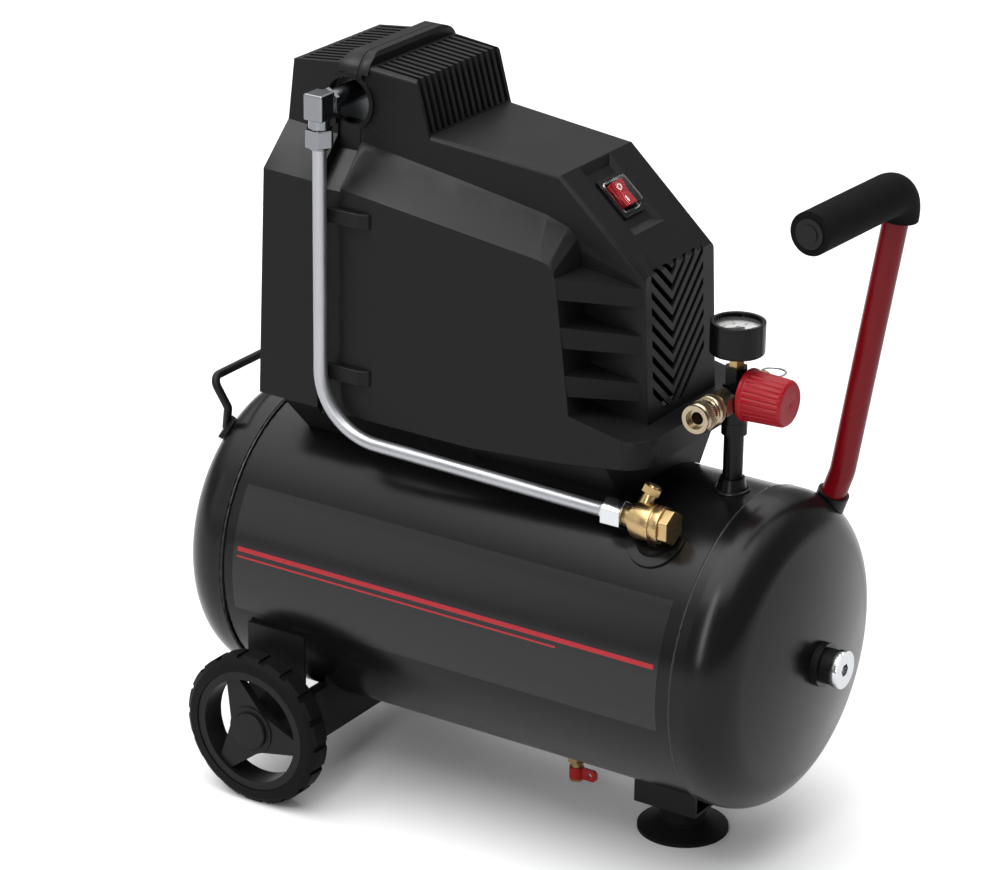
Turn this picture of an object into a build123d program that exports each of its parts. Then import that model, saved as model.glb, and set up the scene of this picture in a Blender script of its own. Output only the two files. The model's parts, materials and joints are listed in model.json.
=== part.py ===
"""Portable air compressor: a direct-driven oil-free pump under a split plastic cover on a steel air tank,
with two wheels, a rubber foot, a pull handle, a lifting handle and a pressure regulator.
X runs along the tank towards the pull handle, Y across it and Z up. Millimetres."""
import os
from math import atan2, cos, degrees, radians, sin, sqrt

from build123d import *

os.makedirs("parts", exist_ok=True)

# ---------------------------------------------------------------- driving dimensions
# The origin is on the floor, under the middle of the whole compressor.
tank_x = -14.5            # middle of the tank
barrel_r = 125.0
ground_gap = 50.0         # under the tank
tank_z = ground_gap + barrel_r
deck_z = tank_z + barrel_r  # top of the tank
barrel_wall = 2.5
barrel_seam = 209.5       # from the middle of the tank to each head's edge
head_r = barrel_r + 2.0
head_wall = 1.8
head_lap = 7.0            # length of barrel inside each head
head_skirt = 8.0
head_knuckle_r = 38.0
head_depth = 58.0
weld_gap = 0.3            # left between curved faces that are welded together
fit_gap = 0.05            # radial running clearance of shafts and pins
slide_gap = 0.3

# wheels
wheel_r = 63.5
wheel_x = tank_x - 156.0
tyre_width = 24.0
tyre_inner_r = 51.0
tyre_shoulder = 5.0
tread_blocks = 18
tread_depth = 2.2
rim_inner_r = 44.0
rim_web = 7.0             # thickness of the spokes
hub_r = 20.0
hub_cap_r = 15.5
axle_r = 5.0
axle_head_af = 16.0

# axle bracket
bracket_sheet = 3.0
bracket_x0 = tank_x - 185.0
bracket_x1 = tank_x - 125.0
bracket_leg_x1 = tank_x - 130.0
bracket_reach = 0.3 * barrel_r  # how far below the tank's axis the legs meet the barrel
bracket_leg_y = sqrt(barrel_r**2 - bracket_reach**2) + 0.36  # inner face of each leg
bracket_bottom_z = wheel_r - 21.5
bracket_top_z = tank_z - bracket_reach
bracket_shoulder_z = tank_z - 89.0
bracket_web_y = bracket_leg_y - 5.6
bracket_shoulder_y = bracket_leg_y - 22.6
wheel_face_y = bracket_leg_y + 42.9  # outer face of each wheel

# foot
foot_x = tank_x + 152.0
foot_r = 36.5
foot_neck_r = 19.0
foot_edge = 3.0
foot_cone_z = 9.0
foot_bracket_z = ground_gap - 22.0  # underside of the bracket, top of the rubber foot
foot_bracket_len = 56.0
foot_bracket_half = 30.0
foot_sheet = 2.5
foot_bolt_r = 4.0

# pull handle
handle_tube_r = 10.0
handle_tube_wall = 1.5
grip_r = 16.7
handle_foot_x = tank_x + barrel_seam + 18.5  # where the tube meets the front head
handle_top = (handle_foot_x + 45.5, -59.0, deck_z + 239.5)
handle_corner = (handle_foot_x + 53.0, 69.0, deck_z + 240.5)
handle_knee = (handle_foot_x + 15.0, 69.0, deck_z + 5.0)
handle_end = (handle_foot_x, 69.0, deck_z - 39.0)
handle_bend_r = 22.0
handle_knee_r = 40.0
grip_down = 1.0           # how far the grip reaches down past the bend

# lifting handle at the rear head
lift_rod_r = 3.5
lift_x = tank_x - barrel_seam - 46.5
lift_half = 71.0
lift_z = deck_z + 15.0
lift_pad_len = 20.0
lift_pad_width = 16.0
lift_pad_sheet = 4.0

# cover
cover_wall = 2.5
cover_seam_x = tank_x - 120.0
cover_seam_gap = 0.6
cover_half = 88.0         # half width of the low, wide body
narrow_half_seam = 59.5   # half widths of the tall, narrow body
narrow_half_rear = 57.0
narrow_half_front = 50.0
cover_rear_x = tank_x - 197.0
cover_front_x = tank_x + 139.0
cover_edge = 21.0         # lower edge of the cover's sides, above the top of the tank
cover_edge_front = 38.0
cover_tuck_y = 50.0       # where the tucked-in apron meets the tank
apron_x0 = tank_x - 172.0
apron_x1 = tank_x + 4.0
apron_x2 = tank_x + 125.0
apron_edge_front = 32.3   # the side's lower edge at the apron's front end, above the top of the tank
cover_edge_r = 4.0
ridge_top = 305.5         # crest of the ridge, above the top of the tank
louvre_count = 14
louvre_pitch = 8.0
louvre_slot = 4.2
channel_x0 = tank_x - 140.0
channel_x1 = tank_x - 117.5
channel_y = 82.0          # floor of the pipe channel, from the middle
port_r = 19.5             # hole for the outlet pipe
port_rim = 3.5
slat_x1 = 131.0           # where the slats end, from the middle of the tank
slat_tops = (173.0, 135.5, 98.0)  # above the top of the tank
slat_height = 16.4        # at the outer corner of each slat
slat_inner_height = 14.5
slat_fall = 8.0
slat_reach = 37.5         # how far each slat's front end lies in from the cover's side
grille_pitch = 12.6
grille_slot = 4.4
grille_apex_y = -12.0
grille_half = 38.0

# switch on the sloping face of the cover
slope_top = (tank_x + 57.5, deck_z + 240.0)
slope_foot = (tank_x + 133.0, deck_z + 174.0)
switch_y = -4.0
switch_along = 34.0       # distance from the slope's upper edge to the switch's middle
switch_length = 36.0
switch_width = 28.0
switch_pocket = 4.0
switch_flange = 2.4       # thickness of the bezel above the pocket's floor
rocker_length = 23.0
rocker_width = 15.0
rocker_gap = 1.3          # between the rocker's ends and its frame
rocker_pin_r = 1.4

# outlet pipe
pipe_x = tank_x - 128.5
pipe_y = -99.6
pipe_r = 5.5
pipe_wall = 1.0
elbow_size = (17.0, 18.0, 21.0)
pipe_bend_r = 54.0
pipe_low_z = deck_z + 9.0
nut_af = 20.5
nut_length = 16.0
nipple_r = 8.5
nipple_spigot_r = 7.0     # its end inside the cylinder head

# check valve
valve_x = tank_x + 162.0
valve_y = -79.0
valve_z = deck_z - 6.0
valve_r = 14.5
valve_bore_r = 4.0
valve_in_x = valve_x - 23.0  # inlet end of the check valve's body

# regulator
riser_x = tank_x + 185.0
riser_r = 7.7
riser_bore_r = 5.0
regulator_z = deck_z + 76.4  # axis of the coupler and the safety valve
knob_z = regulator_z + 3.0
gauge_r = 21.2
gauge_z0 = deck_z + 111.0
gauge_height = 25.6
knob_r = 20.8
knob_end_r = 18.2
knob_ribs = 30
coupler_sleeve_r = 12.2
coupler_bore_r = 5.0
coupler_bore_depth = 18.0
coupler_mouth_r = 7.6
coupler_mouth_depth = 4.0
coupler_end_y = -61.0

# plug and drain
plug_r = 15.0
plug_thread_r = 10.0
plug_boss_r = 14.0
drain_x = tank_x + 52.0
drain_bore_r = 2.5
drain_stem_r = 3.5
drain_end_z = ground_gap - 37.0

# pump and motor inside the cover
crank_z = deck_z + 102.0
crank_throw = 10.0
crank_pin_r = 8.0
shaft_r = 8.0
cylinder_x = pipe_x
cylinder_bore_r = 31.5
piston_clearance = 0.08
stator_r = 56.0
rotor_r = 31.0
air_gap = 0.5
fan_r = 46.0
base_z = deck_z + 19.0
base_sheet = 3.0
saddle_z = deck_z + 4.0
saddle_xs = (tank_x - 100.0, tank_x + 60.0)
mount_y = 38.0
mount_r = 9.0
gland_y = 45.0
gland_z = deck_z + 60.0
gland_r = 8.0
cylinder_top = crank_z + 143.0
head_top = cylinder_top + 36.0
port_z = cylinder_top + 22.0  # middle of the hole in the cover for the outlet pipe
elbow_z = cylinder_top + 28.0


def save(part, name):
    """Label a finished piece and write it to its own file."""
    part.label = name
    export_step(part, f"parts/{name}.step")


def along(origin, direction):
    """A plane at origin that faces direction, with its x axis level or straight up."""
    level = abs(Vector(*direction).normalized().Z) > 0.9
    return Plane(origin=origin, x_dir=(1, 0, 0) if level else (0, 0, 1), z_dir=direction)


def bent_path(points, radii):
    """A path through points, with the corner at each inner point rounded to its radius."""
    with BuildLine() as path:
        start = Vector(*points[0])
        for before, corner, after, radius in zip(points, points[1:], points[2:], radii):
            corner = Vector(*corner)
            back = (Vector(*before) - corner).normalized()
            ahead = (Vector(*after) - corner).normalized()
            half = radians(back.get_angle(ahead)) / 2
            middle = (back + ahead).normalized()
            first = corner + back * (radius * cos(half) / sin(half))
            last = corner + ahead * (radius * cos(half) / sin(half))
            Line(start, first)
            ThreePointArc(first, corner + middle * (radius / sin(half) - radius), last)
            start = last
        Line(start, Vector(*points[-1]))
    return path.wire()


def tube_along(path, outer_r, inner_r=0.0):
    """A round rod or tube swept along a path."""
    with BuildPart() as tube:
        with BuildSketch(Plane(origin=path @ 0, z_dir=path % 0)):
            Circle(outer_r)
            if inner_r:
                Circle(inner_r, mode=Mode.SUBTRACT)
        sweep(path=path)
    return tube.part


def block(x0, x1, y0, y1, z0, z1):
    """A rectangular block between two corners."""
    with BuildPart() as solid:
        with Locations(((x0 + x1) / 2, (y0 + y1) / 2, (z0 + z1) / 2)):
            Box(abs(x1 - x0), abs(y1 - y0), abs(z1 - z0))
    return solid.part


def stepped_rod(origin, direction, steps, bore_r=0.0):
    """Coaxial cylinders and hexagons in a row: steps are (kind, size, length), and a hexagon's size
    is across its flats. bore_r is a hole right through."""
    with BuildPart() as rod:
        start = 0.0
        for kind, size, length in steps:
            with BuildSketch(along(origin, direction).offset(start)):
                if kind == "hex":
                    RegularPolygon(radius=size / 2, side_count=6, major_radius=False)
                else:
                    Circle(size)
            extrude(amount=length)
            start += length
        if bore_r:
            with BuildSketch(along(origin, direction)):
                Circle(bore_r)
            extrude(amount=start, mode=Mode.SUBTRACT)
    return rod.part


# ---------------------------------------------------------------- tank
def head_solid(inset):
    """A torispherical head as a full solid; inset moves its surface inwards."""
    centre_r = head_r - head_knuckle_r
    straight_x = barrel_seam + head_skirt
    tip_x = barrel_seam + head_depth
    rise = head_depth - head_skirt
    crown_r = (centre_r**2 + rise**2 - head_knuckle_r**2) / (2 * (rise - head_knuckle_r))
    crown_x = tip_x - crown_r
    angle = atan2(centre_r, straight_x - crown_x)
    edge_r = head_r - inset
    joint = (crown_x + (crown_r - inset) * cos(angle), (crown_r - inset) * sin(angle))
    middle = atan2(1, 1) + angle / 2
    knuckle_mid = (
        straight_x + (head_knuckle_r - inset) * cos(middle),
        centre_r + (head_knuckle_r - inset) * sin(middle),
    )
    crown_mid = (
        crown_x + (crown_r - inset) * cos(angle / 2),
        (crown_r - inset) * sin(angle / 2),
    )
    back_x = barrel_seam - (1.0 if inset else 0.0)
    with BuildPart() as solid:
        with BuildSketch(Plane(origin=(tank_x, 0, tank_z), x_dir=(1, 0, 0), z_dir=(0, -1, 0))):
            with BuildLine():
                Line((back_x, 0), (back_x, edge_r))
                Line((back_x, edge_r), (straight_x, edge_r))
                ThreePointArc((straight_x, edge_r), knuckle_mid, joint)
                ThreePointArc(joint, crown_mid, (tip_x - inset, 0))
                Line((tip_x - inset, 0), (back_x, 0))
            make_face()
        revolve(axis=Axis((0, 0, tank_z), (1, 0, 0)))
    return solid.part


def head_surface(offset_x):
    """Radius of the head's outside, offset_x from the middle of the tank."""
    beyond = offset_x - barrel_seam - head_skirt
    if beyond <= 0:
        return head_r
    return head_r - head_knuckle_r + sqrt(head_knuckle_r**2 - beyond**2)


def around_tank(radius, half_length=barrel_seam + 10.5):
    """A solid cylinder on the tank's axis, used to fit pieces to the barrel."""
    with BuildPart() as solid:
        with BuildSketch(Plane.YZ.offset(tank_x - half_length)):
            with Locations((0, tank_z)):
                Circle(radius)
        extrude(amount=2 * half_length)
    return solid.part


# the outlet leaves the barrel leaning outwards, towards the check valve's axis
outlet_y = valve_y + 6.5
outlet_foot = Vector(valve_x, outlet_y, tank_z + sqrt(barrel_r**2 - outlet_y**2))
valve_centre = Vector(valve_x, valve_y, valve_z)
outlet_axis = (valve_centre - outlet_foot).normalized()
outlet_length = (valve_centre - outlet_foot).length - valve_r - 0.4
outlet_start = tuple(outlet_foot - outlet_axis * 30)
outlet_spigot_r = 7.5

barrel_half = barrel_seam + head_lap
with BuildPart() as tank_barrel:
    with BuildSketch(Plane.YZ.offset(tank_x - barrel_half)):
        with Locations((0, tank_z)):
            Circle(barrel_r)
            Circle(barrel_r - barrel_wall, mode=Mode.SUBTRACT)
    extrude(amount=2 * barrel_half)
    # air passages to the regulator and the drain
    with BuildSketch(Plane.XY.offset(tank_z)):
        with Locations((riser_x, 0)):
            Circle(valve_bore_r)
    extrude(amount=barrel_r + 10, mode=Mode.SUBTRACT)
    with BuildSketch(Plane.XY.offset(tank_z)):
        with Locations((drain_x, 0)):
            Circle(drain_bore_r)
    extrude(amount=-barrel_r - 10, mode=Mode.SUBTRACT)
    # and to the check valve, leaning outwards
    add(stepped_rod(outlet_start, tuple(outlet_axis), [("round", valve_bore_r, 60)]), mode=Mode.SUBTRACT)
save(tank_barrel.part, "tank_barrel")

head_outside = head_solid(0)
with BuildPart() as tank_head_front:
    add(head_outside)
    add(head_solid(head_wall), mode=Mode.SUBTRACT)
save(tank_head_front.part, "tank_head_front")

with BuildPart() as tank_head_rear:
    mirror(tank_head_front.part, about=Plane.YZ.offset(tank_x))
save(tank_head_rear.part, "tank_head_rear")

barrel_outside = around_tank(barrel_r + weld_gap)
front_head_outside = head_solid(-weld_gap)
rear_head_outside = mirror(front_head_outside, about=Plane.YZ.offset(tank_x))
head_end_x = barrel_seam + head_depth
riser_boss_z = deck_z + 10.0
plug_seat_x = tank_x + head_end_x + 15.5
drain_boss_z = ground_gap - 7.0

outlet_ring = stepped_rod(outlet_start, tuple(outlet_axis), [("round", 22.5, 60)])
outlet_ring = outlet_ring & around_tank(barrel_r + 2.2)
outlet_boss = stepped_rod(outlet_start, tuple(outlet_axis), [("round", 15.5, 30 + outlet_length)])
plug_boss = stepped_rod((plug_seat_x, 0, tank_z), (-1, 0, 0),
                        [("round", plug_boss_r, 9.5), ("round", plug_boss_r + 3.5, 20)])
drain_boss = stepped_rod((drain_x, 0, drain_boss_z), (0, 0, 1), [("round", 9.5, 20)])
with BuildPart() as saddles:
    for x in saddle_xs:
        add(block(x - 15, x + 15, -52, 52, deck_z - 30, saddle_z))
        add(block(x - 16, x + 16, -49, 49, deck_z - 100, saddle_z - 3), mode=Mode.SUBTRACT)
with BuildPart() as tank_bosses:
    add(saddles.part)
    add(outlet_ring)
    add(outlet_boss)
    with Locations((riser_x, 0, riser_boss_z - 6.5)):
        Cone(bottom_radius=12.8, top_radius=9.6, height=13.0)
    add(plug_boss)
    add(drain_boss)
    add(barrel_outside, mode=Mode.SUBTRACT)
    add(front_head_outside, mode=Mode.SUBTRACT)
    add(stepped_rod(outlet_start, tuple(outlet_axis), [("round", outlet_spigot_r + fit_gap, 60)]),
        mode=Mode.SUBTRACT)
    with BuildSketch(Plane.XY.offset(tank_z)):
        with Locations((riser_x, 0)):
            Circle(riser_r + fit_gap)
    extrude(amount=barrel_r + 20, mode=Mode.SUBTRACT)
    with BuildSketch(Plane.XY.offset(tank_z)):
        with Locations((drain_x, 0)):
            Circle(drain_stem_r + fit_gap)
    extrude(amount=-barrel_r - 20, mode=Mode.SUBTRACT)
    with BuildSketch(Plane.YZ.offset(tank_x + head_end_x)):
        with Locations((0, tank_z)):
            Circle(plug_thread_r + fit_gap)
    extrude(amount=30, mode=Mode.SUBTRACT)
save(tank_bosses.part, "tank_bosses")

plug_thread = 10.0
with BuildPart() as end_plug:
    add(stepped_rod((plug_seat_x - plug_thread, 0, tank_z), (1, 0, 0),
                    [("round", plug_thread_r, plug_thread), ("round", plug_r, 6.0)]))
    with BuildSketch(Plane.YZ.offset(plug_seat_x + 6.0)):
        with Locations((0, tank_z)):
            RegularPolygon(radius=4.5, side_count=6, major_radius=False)
    extrude(amount=-5, mode=Mode.SUBTRACT)
save(end_plug.part, "end_plug")

# the drain: a body screwed into the bottom boss and a wing that turns on its stem
drain_wing_z0 = drain_end_z + 2.0
drain_wing_z1 = drain_wing_z0 + 10.0
with BuildPart() as drain_body:
    add(stepped_rod((drain_x, 0, drain_end_z), (0, 0, 1),
                    [("round", 5.5, 1.7), ("round", drain_stem_r, 10.6), ("round", 5.2, 4.7),
                     ("hex", 14.0, drain_boss_z - drain_end_z - 17.0), ("round", drain_stem_r, 5.5)]))
save(drain_body.part, "drain_body")

with BuildPart() as drain_wing:
    add(stepped_rod((drain_x, 0, drain_wing_z0), (0, 0, 1), [("round", 6.0, 10.0)]))
    with BuildSketch(Plane.XZ.offset(-1.5)):
        with Locations((drain_x + 9.5, (drain_wing_z0 + drain_wing_z1) / 2)):
            RectangleRounded(19, 9.6, 3.5)
        with Locations((drain_x + 13.0, (drain_wing_z0 + drain_wing_z1) / 2)):
            Circle(2.2, mode=Mode.SUBTRACT)
    extrude(amount=3)
    with BuildSketch(Plane.XY.offset(drain_wing_z0)):
        with Locations((drain_x, 0)):
            Circle(drain_stem_r + fit_gap)
    extrude(amount=10, mode=Mode.SUBTRACT)
save(drain_wing.part, "drain_wing")

# ---------------------------------------------------------------- wheels on stub axles
hub_in_y = bracket_leg_y + bracket_sheet + 1.2
hub_out_y = wheel_face_y - 2.5
axle_head_y = hub_out_y - 10.0
axle_nut_y = bracket_leg_y - 7.0


def wheel_parts(side):
    """The tyre, rim, cap and stub axle of one wheel; side is -1 or 1."""
    inner_y = wheel_face_y - tyre_width
    axis_start = (wheel_x, 0, wheel_r)
    direction = (0, side, 0)
    with BuildPart() as tyre:
        with BuildSketch(Plane(origin=axis_start, x_dir=(0, side, 0), z_dir=(-side, 0, 0))):
            with BuildLine():
                Polyline(
                    (inner_y, tyre_inner_r),
                    (inner_y + 1, wheel_r - tyre_shoulder),
                    (inner_y + tyre_shoulder, wheel_r),
                    (wheel_face_y - tyre_shoulder, wheel_r),
                    (wheel_face_y - 1, wheel_r - tyre_shoulder),
                    (wheel_face_y, tyre_inner_r),
                    close=True,
                )
            make_face()
        revolve(axis=Axis(axis_start, (0, 1, 0)))
        with BuildSketch(Plane(origin=axis_start, x_dir=(1, 0, 0), z_dir=direction).offset(inner_y - 1)):
            with PolarLocations(wheel_r, tread_blocks):
                Rectangle(2 * tread_depth, 5.5)
        extrude(amount=tyre_width + 2, mode=Mode.SUBTRACT)
    with BuildPart() as rim:
        side_plane = Plane(origin=axis_start, x_dir=(1, 0, 0), z_dir=direction)
        with BuildSketch(side_plane.offset(inner_y + 1.5)):
            Circle(tyre_inner_r - weld_gap)
            Circle(rim_inner_r, mode=Mode.SUBTRACT)
        extrude(amount=tyre_width - 2.5)
        with BuildSketch(side_plane.offset(hub_in_y)):
            Circle(hub_r)
        extrude(amount=hub_out_y - hub_in_y)
        with BuildSketch(side_plane.offset(hub_out_y - rim_web - 1)):
            with Locations(*[Location((0, 0, 0), (0, 0, 1), 6 * side + 120 * turn) for turn in range(3)]):
                Polygon((0, hub_r), (0, -hub_r), (rim_inner_r + 1, -6), (rim_inner_r + 1, 6), align=None)
        extrude(amount=rim_web)
        with BuildSketch(side_plane.offset(hub_in_y)):
            Circle(axle_r + fit_gap)
        extrude(amount=40, mode=Mode.SUBTRACT)
        with BuildSketch(side_plane.offset(axle_head_y)):
            Circle(10.5)
        extrude(amount=20, mode=Mode.SUBTRACT)
    with BuildPart() as cap:
        add(stepped_rod((wheel_x, side * (hub_out_y - 2.5), wheel_r), direction,
                        [("round", 10.2, 2.5), ("round", hub_cap_r, 3.3)]))
        fillet(cap.edges().sort_by(Axis((0, 0, 0), direction))[-1], 1.5)
    with BuildPart() as axle:
        add(stepped_rod((wheel_x, side * (axle_nut_y - 4.0), wheel_r), direction,
                        [("round", axle_r, axle_head_y - axle_nut_y + 4.3), ("hex", axle_head_af, 6.0)]))
    with BuildPart() as nut:
        add(stepped_rod((wheel_x, side * axle_nut_y, wheel_r), direction,
                        [("hex", axle_head_af, 6.7)], axle_r + fit_gap))
    return tyre.part, rim.part, cap.part, axle.part, nut.part


left_wheel = wheel_parts(-1)
right_wheel = wheel_parts(1)
for piece, name in zip(left_wheel[:3], ("tyre_left", "rim_left", "hub_cap_left")):
    save(piece, name)
for piece, name in zip(right_wheel[:3], ("tyre_right", "rim_right", "hub_cap_right")):
    save(piece, name)

with BuildPart() as stub_axles:
    add(left_wheel[3])
    add(right_wheel[3])
save(stub_axles.part, "stub_axles")

with BuildPart() as axle_nuts:
    add(left_wheel[4])
    add(right_wheel[4])
save(axle_nuts.part, "axle_nuts")

# the bent strip under the tank that carries the stub axles
with BuildPart() as axle_bracket:
    add(block(bracket_x0, bracket_x1, -bracket_leg_y - bracket_sheet, bracket_leg_y + bracket_sheet,
              bracket_bottom_z, bracket_bottom_z + bracket_sheet))
    for side in (-1, 1):
        inner = side * bracket_leg_y
        outer = side * (bracket_leg_y + bracket_sheet)
        add(block(bracket_x0, bracket_leg_x1, inner, outer, bracket_bottom_z, bracket_top_z))
    with BuildSketch(Plane.YZ.offset(bracket_x1 - bracket_sheet)):
        with BuildLine():
            Polyline(
                (-bracket_web_y, bracket_bottom_z), (bracket_web_y, bracket_bottom_z),
                (bracket_web_y, bracket_shoulder_z),
                (bracket_shoulder_y, bracket_shoulder_z), (bracket_shoulder_y, tank_z - 40),
                (-bracket_shoulder_y, tank_z - 40), (-bracket_shoulder_y, bracket_shoulder_z),
                (-bracket_web_y, bracket_shoulder_z), close=True,
            )
        make_face()
    extrude(amount=bracket_sheet)
    add(barrel_outside, mode=Mode.SUBTRACT)
    with BuildSketch(Plane.XZ.offset(-bracket_leg_y - 10)):
        with Locations((wheel_x, wheel_r)):
            Circle(axle_r + fit_gap)
    extrude(amount=2 * bracket_leg_y + 20, mode=Mode.SUBTRACT)
save(axle_bracket.part, "axle_bracket")

# ---------------------------------------------------------------- foot
with BuildPart() as foot_bracket:
    add(block(foot_x - foot_bracket_len / 2, foot_x + foot_bracket_len / 2,
              -foot_bracket_half, foot_bracket_half, foot_bracket_z, ground_gap + 10))
    add(block(foot_x - foot_bracket_len, foot_x + foot_bracket_len,
              foot_sheet - foot_bracket_half, foot_bracket_half - foot_sheet,
              foot_bracket_z + foot_sheet, ground_gap + 30), mode=Mode.SUBTRACT)
    add(barrel_outside, mode=Mode.SUBTRACT)
    with BuildSketch(Plane.XY.offset(foot_bracket_z - 1)):
        with Locations((foot_x, 0)):
            Circle(foot_bolt_r + fit_gap)
    extrude(amount=10, mode=Mode.SUBTRACT)
save(foot_bracket.part, "foot_bracket")

foot_bolt_deep = 14.0
with BuildPart() as rubber_foot:
    with BuildSketch(Plane(origin=(foot_x, 0, 0), x_dir=(1, 0, 0), z_dir=(0, -1, 0))):
        with BuildLine():
            Polyline(
                (0, 0), (foot_r, 0), (foot_r, foot_edge), (foot_neck_r + 3, foot_cone_z),
                (foot_neck_r, foot_cone_z + 2), (foot_neck_r, foot_bracket_z), (0, foot_bracket_z),
                close=True,
            )
        make_face()
    revolve(axis=Axis((foot_x, 0, 0), (0, 0, 1)))
    with BuildSketch(Plane.XY.offset(foot_bracket_z)):
        with Locations((foot_x, 0)):
            Circle(foot_bolt_r + fit_gap)
    extrude(amount=-foot_bolt_deep, mode=Mode.SUBTRACT)
save(rubber_foot.part, "rubber_foot")

with BuildPart() as foot_bolt:
    add(stepped_rod((foot_x, 0, foot_bracket_z - foot_bolt_deep + 1), (0, 0, 1),
                    [("round", foot_bolt_r, foot_bolt_deep - 1 + foot_sheet), ("hex", 13.0, 5.3)]))
save(foot_bolt.part, "foot_bolt")

# ---------------------------------------------------------------- pull handle
handle_path = bent_path([handle_top, handle_corner, handle_knee, handle_end], [handle_bend_r, handle_knee_r])
with BuildPart() as handle_tube:
    add(tube_along(handle_path, handle_tube_r, handle_tube_r - handle_tube_wall))
    add(head_solid(-2.0), mode=Mode.SUBTRACT)
save(handle_tube.part, "handle_tube")

corner_vector = Vector(*handle_corner)
down_the_tube = (Vector(*handle_knee) - corner_vector).normalized()
grip_foot = corner_vector + down_the_tube * (handle_bend_r + grip_down)
grip_path = bent_path([handle_top, handle_corner, tuple(grip_foot)], [handle_bend_r])
with BuildPart() as handle_grip:
    add(tube_along(grip_path, grip_r, handle_tube_r + weld_gap))
save(handle_grip.part, "handle_grip")

grip_direction = (Vector(*handle_top) - corner_vector).normalized()
with BuildPart() as handle_end_cap:
    add(stepped_rod(tuple(Vector(*handle_top) - grip_direction * 12), tuple(grip_direction),
                    [("round", handle_tube_r - handle_tube_wall - fit_gap, 12.0),
                     ("round", handle_tube_r + 1.5, 1.6), ("round", handle_tube_r - 3, 0.8)]))
save(handle_end_cap.part, "handle_end_cap")

knee_vector = Vector(*handle_knee)
socket_direction = (Vector(*handle_end) - knee_vector).normalized()
socket_start = Vector(*handle_end) - socket_direction * 26
with BuildPart() as handle_socket:
    with BuildSketch(Plane(origin=socket_start, z_dir=socket_direction)):
        Circle(handle_tube_r + 2.6)
        Circle(handle_tube_r + weld_gap, mode=Mode.SUBTRACT)
    extrude(amount=26)
    add(front_head_outside, mode=Mode.SUBTRACT)
save(handle_socket.part, "handle_socket")

# ---------------------------------------------------------------- lifting handle on the rear head
pad_offset_x = 246.0
pad_r = head_surface(pad_offset_x)
pad_y = 63.0
pad_angle = atan2(sqrt(pad_r**2 - pad_y**2), pad_y)


def pad_plane(side, lift):
    """A plane on the rear head under one foot of the lifting handle, raised by lift."""
    beyond = pad_offset_x - barrel_seam - head_skirt
    out_x = -beyond / head_knuckle_r
    out_r = (pad_r - head_r + head_knuckle_r) / head_knuckle_r
    normal = Vector(out_x, side * out_r * cos(pad_angle), out_r * sin(pad_angle))
    foot = Vector(tank_x - pad_offset_x, side * pad_y, tank_z + pad_r * sin(pad_angle))
    return Plane(origin=foot + normal * lift, x_dir=(0, 1, 0), z_dir=normal)


lift_feet = {side: pad_plane(side, lift_pad_sheet / 2 + 0.6).origin for side in (-1, 1)}
lift_points = [
    tuple(lift_feet[-1]),
    (tank_x - 243.0, -68.0, deck_z - 9.0),
    (lift_x, -lift_half, lift_z),
    (lift_x, lift_half, lift_z),
    (tank_x - 243.0, 68.0, deck_z - 9.0),
    tuple(lift_feet[1]),
]
with BuildPart() as lifting_handle:
    add(tube_along(bent_path(lift_points, [5.0, 8.0, 8.0, 5.0]), lift_rod_r))
    for side in (-1, 1):
        with BuildSketch(pad_plane(side, 0)):
            RectangleRounded(lift_pad_len, lift_pad_width, 5)
        extrude(amount=lift_pad_sheet)
    add(rear_head_outside, mode=Mode.SUBTRACT)
save(lifting_handle.part, "lifting_handle")

# ---------------------------------------------------------------- cover
def inset_polygon(points, inset):
    """The corners of a polygon moved inwards by inset, in the same order. The polygon runs clockwise."""
    moved = []
    count = len(points)
    for i in range(count):
        here = Vector(*points[i], 0)
        back = (Vector(*points[i - 1], 0) - here).normalized()
        ahead = (Vector(*points[(i + 1) % count], 0) - here).normalized()
        n1 = Vector(-back.Y, back.X, 0)
        n2 = Vector(ahead.Y, -ahead.X, 0)
        middle = n1 + n2
        shift = middle * (2 * inset / middle.dot(middle))
        moved.append((here.X + shift.X, here.Y + shift.Y))
    return moved


def side_slab(points, half):
    """An outline in the XZ plane extruded across the cover."""
    with BuildPart() as slab:
        with BuildSketch(Plane.XZ.offset(-half)):
            with BuildLine():
                Polyline(*points, close=True)
            make_face()
        extrude(amount=2 * half)
    return slab.part


def ruled_side(outer, inner, outer_y, inner_y):
    """The ruled solid between two outlines of equal corner count at two distances from the middle."""
    with BuildPart() as solid:
        for y, points in ((inner_y, inner), (outer_y, outer)):
            with BuildSketch(Plane.XZ.offset(-y)):
                with BuildLine():
                    Polyline(*points, close=True)
                make_face()
        loft(ruled=True)
    return solid.part


def at_tank(points):
    """Outline points given from the middle and the top of the tank, in the part's frame."""
    return [(tank_x + x, deck_z + z) for x, z in points]


narrow_outline = at_tank([(-196, 30), (-188, 240), (-182, 291), (-120, 297.5), (-69, 292.7),
                          (-57, 250.5), (57.5, 240), (133, 174), (139.5, 40)])
wide_bottom = cover_edge - 21.0
ledge_outer = at_tank([(-197, wide_bottom), (-190, 209), (-120, 206), (62, 184.9), (70.5, 182.6),
                       (75.5, 177.6), (77.9, 170), (92.5, 57), (92.5, wide_bottom)])
ledge_inner = at_tank([(-197, wide_bottom), (-187.4, 249.6), (-120, 246.6), (46.4, 210.2), (66, 203),
                       (74, 195.5), (77.5, 186), (92.5, 57), (92.5, wide_bottom)])
tray_x1 = tank_x + 157.5


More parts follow.
